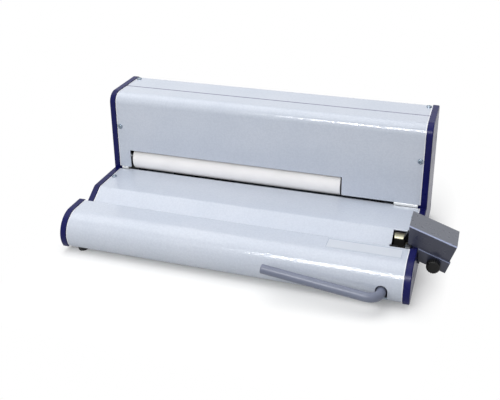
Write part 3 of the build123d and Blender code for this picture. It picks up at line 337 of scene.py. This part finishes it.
def line_badge_border():
    """A thin grey line runs round the film over its raised rim: the space between two boxes, one in the other.
    """
    tree, shader, place = parts_of(badge_film)
    line_out, line_in, below, above = 0.5, 1.3, 40, 60
    outer, inner = (
        inside_box(
            tree, place, (badge_left + inset, badge_front + inset, below),
            (badge_right - inset, badge_rear - inset, above))
        for inset in (line_out, line_in)
    )
    line = add_node(tree, "Math", [outer, inner], operation="SUBTRACT", use_clamp=True)
    recolour(tree, shader, [(line, "#9AA5B8")])


paint_guard_light()
paint_roller_end_shade()
paint_guide_shade()
brighten_cutting_edges()
line_badge_border()


# Meshes

def finish_piece(name, mesh, node, material=None):
    """Makes an object of a mesh, gives it the finish of its node's slot, and lets it ride with its node's
    body.
    """
    piece = bpy.data.objects.new(name, mesh)
    bpy.context.scene.collection.objects.link(piece)
    mesh.materials.clear()
    mesh.materials.append(material or finishes[slot_of[node]])
    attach(piece, body_of[node])
    return piece


def merged_copy(node):
    """A CAD node's mesh for editing, with the doubles of its loose triangles merged."""
    work = bmesh.new()
    work.from_mesh(cad_nodes[node].data)
    bmesh.ops.remove_doubles(work, verts=work.verts, dist=0.002 * MM)
    return work


def rounded_copy(node, width):
    """The node's own shape with its flat faces joined and its sharp edges rounded over by the
    given width, as on a real pressed, cast or moulded piece. At width 0 the edges stay as the
    casting has them."""
    sharp_from, flat_within = radians(30), radians(0.4)
    work = merged_copy(node)
    bmesh.ops.dissolve_limit(
        work, angle_limit=flat_within, use_dissolve_boundaries=False, verts=work.verts, edges=work.edges)
    work.verts.index_update()
    points = [v.co[:] for v in work.verts]
    faces = [[v.index for v in f.verts] for f in work.faces]
    work.free()
    mesh = bpy.data.meshes.new(node + "_rounded")
    mesh.from_pydata(points, [], faces)
    mesh.shade_smooth()
    piece = finish_piece(node + "_rounded", mesh, node)
    if width:
        edge = piece.modifiers.new("rounded edges", "BEVEL")
        edge.width = width
        edge.segments = 2
        edge.limit_method = "ANGLE"
        edge.angle_limit = sharp_from
        edge.use_clamp_overlap = False
    else:
        mesh.set_sharp_from_angle(angle=sharp_from)
    flats = piece.modifiers.new("weighted normals", "WEIGHTED_NORMAL")
    flats.mode = "FACE_AREA"
    flats.weight = 60
    flats.keep_sharp = True
    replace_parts(piece, node)


def join_rings(following, sides):
    """Quads from each ring of points to the ring whose number is given as following it."""
    i, j = np.meshgrid(np.arange(len(following)), np.arange(sides), indexing="ij")
    k = (j + 1) % sides
    n = following[i]
    return np.stack([i * sides + j, i * sides + k, n * sides + k, n * sides + j], -1).reshape(-1, 4)


def facing_out(points, quads, triangles):
    """A closed skin's points and faces, with the faces all turned over where its volume comes out
    negative. Six times the volume is the sum, over the triangles, of one corner's dot product with
    the cross product of the other two."""
    halves = np.vstack([quads[:, [0, 1, 2]], quads[:, [0, 2, 3]], triangles])
    first, second, third = points[halves].transpose(1, 0, 2)
    volume = np.einsum("ij,ij->", first, np.cross(second, third))
    order = -1 if volume < 0 else 1
    return points, quads[:, ::order].tolist() + triangles[:, ::order].tolist()


def grid_shell(rings):
    """A closed skin over an array of rings, shaped (rings, points, 3): quads join each ring to
    the next, and a fan of triangles closes the first and the last ring at its middle."""
    count, sides = rings.shape[:2]
    points = np.vstack([rings.reshape(-1, 3), rings[0].mean(0), rings[-1].mean(0)])
    around = np.arange(sides)
    following = (around + 1) % sides
    last_ring, first_middle = (count - 1) * sides, count * sides
    first = np.stack([following, around, np.full(sides, first_middle)], -1)
    last = np.stack([last_ring + around, last_ring + following, np.full(sides, first_middle + 1)], -1)
    return facing_out(points, join_rings(np.arange(1, count), sides), np.vstack([first, last]))


def sleeve_shell(rings):
    """A tube's closed skin from rings that run along its outside and back through its bore, where
    the last ring is joined to the first."""
    count, sides = rings.shape[:2]
    quads = join_rings((np.arange(count) + 1) % count, sides)
    return facing_out(rings.reshape(-1, 3), quads, np.empty((0, 3), int))


def mesh_of(name, shells):
    """One mesh of several closed skins, smooth where its faces meet at a shallow angle."""
    shallow = radians(38)
    points, faces, start = [], [], 0
    for shell_points, shell_faces in shells:
        points.append(shell_points)
        faces += [[v + start for v in f] for f in shell_faces]
        start += len(shell_points)
    mesh = bpy.data.meshes.new(name)
    mesh.from_pydata(np.vstack(points), [], faces)
    mesh.shade_smooth()
    mesh.set_sharp_from_angle(angle=shallow)
    return mesh


def turned(profile, centre, axis, sides, grip=None):
    """The rings of a turned shape: each (radius, height) of the profile is carried round the axis, as
    centre + radius × (cosine × across + sine × upward) + height × axis. grip, a function of the
    radii and the angles, cuts into the radii."""
    axis = np.array(Vector(axis).normalized())
    across = np.array(Vector(axis).orthogonal().normalized())
    upward = np.cross(axis, across)
    angles = np.linspace(0, 2 * pi, sides, endpoint=False)
    radius = np.array([p[0] for p in profile])[:, None] * np.ones(sides)
    if grip is not None:
        radius = grip(radius, angles)
    height = np.array([p[1] for p in profile])[:, None] * np.ones(sides)
    return (
        np.array(centre)
        + (radius * np.cos(angles))[..., None] * across
        + (radius * np.sin(angles))[..., None] * upward
        + height[..., None] * axis
    )


# Pressed covers, cast cheeks, milled blocks and mouldings, each with the width of its rounded edges
edge_rounding = {
    "side_plate_left": 0, "side_plate_right": 0,
    "tower_front_cover": 0.45 * MM, "tower_rear_cover": 0.45 * MM,
    "tray_cover": 0.45 * MM, "front_cover": 0.45 * MM, "base_plate": 0.3 * MM,
    "end_block_left": 0.4 * MM, "end_block_right": 0.4 * MM,
    "crimp_frame": 0.3 * MM, "crimp_die": 0.3 * MM,
    "jaw_arm": 0.3 * MM, "jaw_blade": 0.15 * MM,
    "guard_cover": 0.35 * MM, "clamp_washer": 0.15 * MM,
    "power_inlet": 0.4 * MM, "inlet_pins": 0.2 * MM, "rocker_frame": 0.3 * MM, "power_rocker": 0.3 * MM,
    "motor_bracket": 0.3 * MM,
}
for node, width in edge_rounding.items():
    rounded_copy(node, width)


# End blocks: their ends show as bright bars between the tower's foot and the tray

def end_bar_shell(low, high):
    """A bar along an end block, from its low to its high corner: a section with its two front
    corners cut, carried along X, and drawn in by its soft edge at both ends."""
    tower_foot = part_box("tower_front_cover")[0]
    tray_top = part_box("tray_cover")[1].z
    top, bottom = tower_foot.z + 0.1 * MM, tray_top + 0.3 * MM
    front, back = tower_foot.y - 0.9 * MM, tower_foot.y + 2.2 * MM
    soft = 0.35 * MM
    sections = []
    for x, inset in ((low[0], soft), (low[0] + soft, 0.0), (high[0] - soft, 0.0), (high[0], soft)):
        sections.append([
            (x, back, bottom + inset), (x, front + soft + inset, bottom + inset),
            (x, front + inset, bottom + soft + inset), (x, front + inset, top - soft - inset),
            (x, front + soft + inset, top - inset), (x, back, top - inset),
        ])
    return grid_shell(np.array(sections))


for node in ("end_block_left", "end_block_right"):
    low, high = (np.array(corner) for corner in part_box(node))
    finish_piece(node + "_bar", mesh_of(node + "_bar", [end_bar_shell(low, high)]), node)


# Screws with their driver recesses

head_height, crown_radius = 2.4 * MM, 2.7 * MM
recess_depth = 1.5 * MM


def solids_of(node):
    """The points of each separate solid in a node."""
    work = merged_copy(node)
    seen, groups = set(), []
    for vertex in work.verts:
        if vertex in seen:
            continue
        group, front = [], [vertex]
        seen.add(vertex)
        while front:
            found = front.pop()
            group.append(found.co[:])
            for joined in found.link_edges:
                other = joined.other_vert(found)
                if other not in seen:
                    seen.add(other)
                    front.append(other)
        groups.append(np.array(group))
    work.free()
    return groups


def screw_seat(points):
    """A screw's axis, pointing out of its head, the middle of its head's outer end, its head's
    radius and its length. The axis is the one whose span differs most from the other two."""
    low, high = points.min(0), points.max(0)
    middle = (low + high) / 2
    spans = high - low
    lone = int(np.argmax([abs(spans[(i + 1) % 3] + spans[(i + 2) % 3] - 2 * spans[i]) for i in range(3)]))
    others = [i for i in range(3) if i != lone]
    from_axis = np.hypot(*(points[:, others] - middle[others]).T)
    head = points[from_axis > 0.8 * from_axis.max()][:, lone].mean()
    axis = np.zeros(3)
    axis[lone] = 1 if head > middle[lone] else -1
    top = middle.copy()
    top[lone] = high[lone] if head > middle[lone] else low[lone]
    return axis, top, from_axis.max(), spans[lone]


def drive_recess(kind, x, y):
    """How deep the driver's recess is at a point of the head. A cross is the deeper of two bars,
    each its depth times how far the point is inside its side and its sloping end. A hexagon falls
    to its depth over a soft edge, by the point's distance from the axis towards the nearest flat."""
    soft = 0.12 * MM
    if kind == "cross":
        width, reach = 1.05 * MM, 2.25 * MM
        bars = []
        for u, v in ((x, y), (y, x)):
            side = np.clip((width / 2 - np.abs(v)) / soft, 0, 1)
            end = np.clip((reach - np.abs(u)) / (reach * 0.6), 0, 1)
            bars.append(side * end)
        return recess_depth * np.maximum(*bars)
    half_width = 2.0 * MM
    angle = np.arctan2(y, x)
    to_flat = np.hypot(x, y) * np.cos((angle + pi / 6) % (pi / 3) - pi / 6)
    return recess_depth * np.clip((half_width - to_flat) / soft, 0, 1)


def screw_shell(points, kind, turn):
    """A pan head with a cross or a countersunk screw with a hexagon, in the place of a CAD screw.
    Rings run from the shank's tip, out under the head, over its dome or flat and in again, and the
    recess lowers the inner ones."""
    axis, top, head_radius, length = screw_seat(points)
    inner = np.linspace(2.5 * MM, 0.12 * MM, 22)
    if kind == "cross":
        shank, dome_rim, dome_rise = 2.0 * MM, -1.3 * MM, 1.2 * MM
        dome = [radians(a) for a in (0, 18, 36, 54, 72)]
        outer = [(head_radius - 0.25 * MM, -head_height), (head_radius, -head_height + 0.25 * MM)]
        outer += [
            (crown_radius + (head_radius - crown_radius) * cos(a), dome_rim + dome_rise * sin(a))
            for a in dome
        ]
        crown = [(r, -0.1 * MM * (r / crown_radius) ** 2) for r in inner]
    else:
        shank = 3.0 * MM
        outer = [(head_radius, -0.25 * MM), (head_radius - 0.2 * MM, 0.0), (3.4 * MM, 0.0)]
        crown = [(r, 0.0) for r in inner]
    stem = [(shank * 0.75, -length), (shank, -length + 0.5 * MM), (shank, -head_height)]
    rings = turned(stem + outer + crown, (0, 0, 0), (0, 0, 1), 64)
    crown_rings = rings[len(stem) + len(outer):]
    crown_rings[..., 2] -= drive_recess(kind, crown_rings[..., 0], crown_rings[..., 1])
    upright = Vector((0, 0, 1)).rotation_difference(Vector(axis))
    facing = upright @ Matrix.Rotation(turn, 3, "Z").to_quaternion()
    return grid_shell(rings @ np.array(facing.to_matrix()).T + top)


for node, kind in (
    ("cover_screws", "cross"), ("base_screws", "cross"), ("bracket_screws", "cross"),
    ("plate_screws", "hexagon"),
):
    shells = [screw_shell(points, kind, rng.uniform(0, pi)) for points in solids_of(node)]
    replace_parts(finish_piece(node + "_driven", mesh_of(node, shells), node), node)


# Feed roller

def feed_roller_shell():
    """The ground rubber sleeve: a straight cylinder about X, rounded over at both ends by a quarter
    circle, whose skin turns back through its bore."""
    low, high = (np.array(corner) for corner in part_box("feed_roller"))
    middle = (low + high) / 2
    radius, half_length = (high[2] - low[2]) / 2, (high[0] - low[0]) / 2
    wall, roll_over, straight_margin = 3.95 * MM, 1.4 * MM, 6 * MM
    quarter = np.radians(np.linspace(0, 90, 7))
    end = [(radius - roll_over * (1 - cos(a)), half_length - roll_over * (1 - sin(a))) for a in quarter]
    straight_half = half_length - straight_margin
    outside = [(r, -h) for r, h in end[::-1]]
    outside += [(radius, h) for h in np.linspace(-straight_half, straight_half, 40)] + end
    bore = [(radius - wall, half_length), (radius - wall, -half_length)]
    return sleeve_shell(turned(outside + bore, middle, (1, 0, 0), 96))


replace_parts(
    finish_piece("feed_roller_sleeve", mesh_of("feed_roller_sleeve", [feed_roller_shell()]), "feed_roller"),
    "feed_roller",
)


# Rubber feet

def foot_shell(points):
    """A foot turned about Z: a stem up into the base plate, a button that tapers by 7 degrees to a
    rounded rim, and a hollow under it."""
    low, high = points.min(0), points.max(0)
    middle = (low + high) / 2
    floor_z, plate_z = low[2], 0.0
    stem, hollow = 2.0 * MM, 0.8 * MM
    wide = (high[0] - low[0]) / 2
    narrow = wide - (plate_z - floor_z) * tan(radians(7))
    profile = [
        (stem, high[2]), (stem, plate_z), (wide - 0.2 * MM, plate_z), (wide, plate_z - 0.3 * MM),
        (narrow + 0.15 * MM, floor_z + 1.0 * MM), (narrow - 0.15 * MM, floor_z + 0.3 * MM),
        (narrow - 0.9 * MM, floor_z), (narrow - 2.6 * MM, floor_z), (narrow - 3.1 * MM, floor_z + hollow),
        (0.2 * MM, floor_z + hollow),
    ]
    return grid_shell(turned(profile, (middle[0], middle[1], 0), (0, 0, 1), 48))


shells = [foot_shell(points) for points in solids_of("rubber_feet")]
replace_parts(finish_piece("rubber_feet_turned", mesh_of("rubber_feet", shells), "rubber_feet"), "rubber_feet")


# Clamp knob

knob_low, knob_high = (np.array(corner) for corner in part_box("clamp_knob"))
knob_middle = (knob_low + knob_high) / 2
knob_radius = (knob_high[0] - knob_low[0]) / 2
knob_depth = knob_high[1] - knob_low[1]
flutes, flute_depth = 18, 0.55 * MM


def fluted(radius, angles):
    """Flutes cut by the square of a raised cosine of the angle into the rings near the outside."""
    depth = flute_depth * np.clip((radius / knob_radius - 0.8) / 0.15, 0, 1)
    return radius - depth * (0.5 + 0.5 * np.cos(flutes * angles)) ** 2


def knob_shell():
    """A phenolic knob turned about the stud: a flat back, a fluted grip, and a slightly domed face."""
    profile = [
        (3.1 * MM, 0.0), (7.0 * MM, 0.0), (knob_radius - 0.9 * MM, 0.0), (knob_radius - 0.2 * MM, 0.5 * MM),
        (knob_radius, 1.1 * MM), (knob_radius, knob_depth - 1.8 * MM),
        (knob_radius - 0.25 * MM, knob_depth - 1.0 * MM), (knob_radius - 0.9 * MM, knob_depth - 0.4 * MM),
        (knob_radius - 2.0 * MM, knob_depth - 0.12 * MM), (knob_radius - 4.0 * MM, knob_depth),
        (2.0 * MM, knob_depth), (0.3 * MM, knob_depth),
    ]
    back = (knob_middle[0], knob_high[1], knob_middle[2])
    return grid_shell(turned(profile, back, (0, -1, 0), 144, fluted))


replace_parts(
    finish_piece("clamp_knob_fluted", mesh_of("clamp_knob", [knob_shell()]), "clamp_knob"), "clamp_knob")


# Clamp bracket

def plate_shell(outline, along, start, end):
    """A flat plate from a convex outline, carried along one axis, with its rims softened: the first
    and the last ring are drawn in towards the outline's middle."""
    rim, rim_depth = 0.3 * MM, 0.2 * MM
    outline = np.array(outline)
    middle = outline.mean(0)
    reach = np.linalg.norm(outline - middle, axis=1)[:, None]
    drawn_in = outline - (outline - middle) / reach * rim
    stations = (start, drawn_in), (start + rim_depth, outline), (end - rim_depth, outline), (end, drawn_in)
    return grid_shell(np.array([np.insert(ring, along, place, axis=1) for place, ring in stations]))


def bracket_shells():
    """A plate on the side plate, an arm that narrows from it to a round eye on the stud and stays
    above the guard's flange, and a foot that reaches down behind it to the lower screw."""
    low, high = (np.array(corner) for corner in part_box("clamp_bracket"))
    thickness, arm_height, foot_width, eye_radius = 3.0 * MM, 11.5 * MM, 15.5 * MM, 7.0 * MM
    into_arm, into_plate = 0.1 * MM, 0.5 * MM
    arm_low = high[2] - arm_height
    foot_front = high[1] - foot_width
    plate_front, foot_top = low[1] + into_arm, arm_low + into_plate
    eye_x, eye_z = knob_middle[0], knob_middle[2]
    eye_turn = np.radians(np.linspace(58, -80, 24))
    eye = [(eye_x + eye_radius * cos(a), eye_z + eye_radius * sin(a)) for a in eye_turn]
    arm = [(low[0], arm_low), (low[0], high[2])] + eye
    plate = [(plate_front, arm_low), (plate_front, high[2]), (high[1], high[2]), (high[1], arm_low)]
    foot = [(foot_front, low[2]), (foot_front, foot_top), (high[1], foot_top), (high[1], low[2])]
    return [
        plate_shell(arm, 1, low[1], low[1] + thickness),
        plate_shell(plate, 0, low[0], low[0] + thickness),
        plate_shell(foot, 0, low[0], low[0] + thickness),
    ]


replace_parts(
    finish_piece("clamp_bracket_arm", mesh_of("clamp_bracket", bracket_shells()), "clamp_bracket"),
    "clamp_bracket",
)


# Lever sleeve

def lever_sleeve_shell():
    """A round tube along the rod's line: straight out of the notch, a quarter-circle bend, and a
    straight arm that rises to the left. Each ring is the tube's radius times the cosine and the sine
    of its angle, along two directions square to the path. The tip is rounded and dimpled."""
    low, high = (np.array(corner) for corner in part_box("lever_sleeve"))
    radius, bend_radius, rise = 6.5 * MM, 18.0 * MM, radians(6.6)
    corner = np.array([high[0] - radius, low[1] + radius, low[2] + radius])
    arm = (corner[0] - low[0] - radius * sin(rise)) / cos(rise)
    forward = np.array([0.0, -1.0, 0.0])
    leftward = np.array([-cos(rise), 0.0, sin(rise)])
    start = np.array([corner[0], high[1], corner[2]])
    bend_in = corner - forward * bend_radius
    bend_middle = bend_in + leftward * bend_radius
    turn = np.linspace(0, pi / 2, 25)[:, None]
    bend = bend_middle + bend_radius * (forward * np.sin(turn) - leftward * np.cos(turn))
    straight_in = start + (bend_in - start) * np.linspace(0, 1, 6)[:-1, None]
    tip = corner + leftward * arm
    straight_out = bend[-1] + (tip - bend[-1]) * np.linspace(0, 1, 30)[1:, None]
    path = np.vstack([straight_in, bend, straight_out])

    tangent = np.gradient(path, axis=0)
    tangent /= np.linalg.norm(tangent, axis=1)[:, None]
    binormal = np.cross(forward, leftward)
    normal = np.cross(binormal, tangent)
    angles = np.linspace(0, 2 * pi, 40, endpoint=False)
    ring = np.cos(angles)[None, :, None] * normal[:, None] + np.sin(angles)[None, :, None] * binormal
    tube = path[:, None] + radius * ring

    # The closed tip, as places along the arm in millimetres with the share of the radius there
    tip_length = 1.4
    tip_rings = [
        (0.0, 1.0), (0.45, 0.985), (0.9, 0.93), (1.25, 0.85), (tip_length, 0.76), (1.1, 0.62), (0.9, 0.4),
        (0.9, 0.05),
    ]
    tip_end = [
        tip + leftward * (step - tip_length) * MM + radius * share * ring[-1] for step, share in tip_rings
    ]
    return grid_shell(np.concatenate([tube[:-1], np.array(tip_end)]))


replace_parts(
    finish_piece("lever_sleeve_tube", mesh_of("lever_sleeve", [lever_sleeve_shell()]), "lever_sleeve"),
    "lever_sleeve",
)


# Badge plate

def badge_ring(inset, height):
    """Points round a rectangle with quarter-circle corners, drawn in by the inset, at the given
    height over the hood."""
    left, right, front, rear = (place * MM for place in (badge_left, badge_right, badge_front, badge_rear))
    radius = max(0.8 * MM - inset, 0.1 * MM)
    steps = 7
    angles = np.radians(np.concatenate([np.linspace(a, a + 90, steps) for a in (0, 90, 180, 270)]))
    corner = np.repeat([0, 1, 2, 3], steps)
    to_right = np.array([1, -1, -1, 1])[corner] > 0
    to_rear = np.array([1, 1, -1, -1])[corner] > 0
    x = np.where(to_right, right - inset - radius, left + inset + radius) + radius * np.cos(angles)
    y = np.where(to_rear, rear - inset - radius, front + inset + radius) + radius * np.sin(angles)
    hood_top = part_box("front_cover")[1].z
    return np.stack([x, y, np.full(len(x), hood_top + height)], -1)


def badge_shell():
    """The bare plate on the hood: a thin film with a soft outer edge and a raised rim."""
    thickness, sunk, rim_height = 0.35 * MM, 0.05 * MM, 0.15 * MM
    return grid_shell(np.array([
        badge_ring(0, -sunk), badge_ring(0, thickness - 0.1 * MM), badge_ring(0.12 * MM, thickness),
        badge_ring(0.8 * MM, thickness), badge_ring(1.0 * MM, thickness - rim_height),
        badge_ring(1.4 * MM, thickness - rim_height),
    ]))


finish_piece("hood_badge_plate", mesh_of("hood_badge_plate", [badge_shell()]), "front_cover", badge_film)

# CAD nodes that keep their own mesh get their finish
for name, held in cad_nodes.items():
    held.data.materials.clear()
    held.data.materials.append(finishes[slot_of[name]])


# Floor

def pale_floor():
    """Matt pale floor that keeps the object's shadow close to the machine and is pure white away from
    it. The white's share grows with the distance outside the machine's rectangle on the floor, which
    counts three times along X. It holds only where the floor is seen, directly, in a reflection or
    through glass."""
    made = new_material("pale_floor")
    tree = made.node_tree
    shader = tree.nodes["Principled BSDF"]
    rays = add_node(tree, "LightPath", []).node.outputs
    tint = add_node(
        tree, "Mix", {0: rays["Is Diffuse Ray"], 6: linear("#FBFBFA"), 7: linear("#B4B4B3")}, 2,
        data_type="RGBA")
    set_inputs(tree, shader, {"Base Color": tint, "Roughness": 0.9, "Specular IOR Level": 0.0})

    middle, half_sizes, stretch = (0.0, -0.056, 0.0), (0.25, 0.154, 1.0), (3.0, 1.0, 1.0)
    nearest_share, fade_reach = 0.15, 0.16
    off = add_node(tree, "NewGeometry", [], "Position")
    off = add_node(tree, "VectorMath", [off, middle], operation="SUBTRACT")
    off = add_node(tree, "VectorMath", [off], operation="ABSOLUTE")
    off = add_node(tree, "VectorMath", [off, half_sizes], operation="SUBTRACT")
    off = add_node(tree, "VectorMath", [off, (0.0, 0.0, 0.0)], operation="MAXIMUM")
    off = add_node(tree, "VectorMath", [off, stretch], operation="MULTIPLY")
    away = add_node(tree, "VectorMath", [off], "Value", operation="LENGTH")
    fade = add_node(tree, "MapRange", [away, 0.0, fade_reach, nearest_share, 1.0])

    seen = add_node(tree, "Math", [rays["Is Camera Ray"], rays["Is Glossy Ray"]], operation="ADD")
    seen = add_node(tree, "Math", [seen, rays["Is Transmission Ray"]], operation="ADD", use_clamp=True)
    share = add_node(tree, "Math", [fade, seen], operation="MULTIPLY")
    white = add_node(tree, "Emission", {"Color": (1, 1, 1, 1), "Strength": 1.0})
    mixed = add_node(tree, "MixShader", [share, shader.outputs["BSDF"], white])
    set_inputs(tree, tree.nodes["Material Output"], {"Surface": mixed})
    return made


floor_z = cad_bounds[0][2]
floor_size, floor_middle_y, floor_gap = 12, 1.5, 0.05 * MM
bpy.ops.mesh.primitive_plane_add(size=floor_size, location=(0, floor_middle_y, floor_z - floor_gap))
floor = bpy.context.object
floor.name = "studio_floor"
floor.data.materials.append(pale_floor())


# Light

def studio_world():
    """An even white surround where it is seen or reflected, which lights the object more softly."""
    softened = 0.52
    world = bpy.data.worlds.new("studio")
    bpy.context.scene.world = world
    world.use_nodes = True
    tree = world.node_tree
    lighting = add_node(tree, "LightPath", [], "Is Diffuse Ray")
    strength = add_node(tree, "MapRange", [lighting, 0, 1, 1.0, softened])
    set_inputs(tree, tree.nodes["Background"], {"Color": linear("#FAFBFD"), "Strength": strength})


def panel(name, place, target, width, height, power):
    """A rectangular soft light at a place, turned towards its target."""
    light = bpy.data.lights.new(name, "AREA")
    light.shape = "RECTANGLE"
    light.size = width
    light.size_y = height
    light.energy = power
    lamp = bpy.data.objects.new(name, light)
    bpy.context.scene.collection.objects.link(lamp)
    lamp.location = place
    lamp.rotation_euler = (Vector(target) - Vector(place)).to_track_quat("-Z", "Y").to_euler()
    return lamp


# The front panel only lights the front, and the strip is only seen as the streak that it leaves
# along the bends
studio_world()
panel("overhead_panel", (-0.5, 0.2, 2.3), (0.0, -0.05, 0.0), 2.6, 2.2, 32)
front = panel("front_panel", (-0.8, -2.0, 1.5), (0.0, -0.05, 0.08), 2.0, 1.0, 27)
front.visible_glossy = False
strip = panel("front_strip", (0.1, -0.75, 0.65), (0.15, -0.15, 0.08), 0.5, 0.13, 5.5)
strip.visible_diffuse = False
strip.visible_camera = False

# Camera, as solved from the photograph's straight edges
camera_place = Vector((0.326520, -1.057691, 0.602727))
view_right = Vector((0.949926, 0.312235, -0.012214))
view_down = Vector((0.107713, -0.363892, -0.925192))
view_ahead = view_right.cross(view_down)
photo_width, photo_height = 500, 400
focal_pixels = 771.846
principal_point = (244.489, 130.100)
camera = bpy.data.cameras.new("photo_camera")
camera.sensor_fit = "HORIZONTAL"
camera.sensor_width = 36.0
camera.lens = focal_pixels / photo_width * camera.sensor_width
# The photograph is a crop, so its principal point lies above its middle
camera.shift_x = (photo_width / 2 - principal_point[0]) / photo_width
camera.shift_y = (principal_point[1] - photo_height / 2) / photo_width
camera.clip_start = 0.05
viewer = bpy.data.objects.new("photo_camera", camera)
bpy.context.scene.collection.objects.link(viewer)
turned_to = Matrix((view_right, -view_down, -view_ahead)).transposed()
viewer.matrix_world = Matrix.Translation(camera_place) @ turned_to.to_4x4()
bpy.context.scene.camera = viewer
bpy.context.scene.view_settings.view_transform = "Standard"
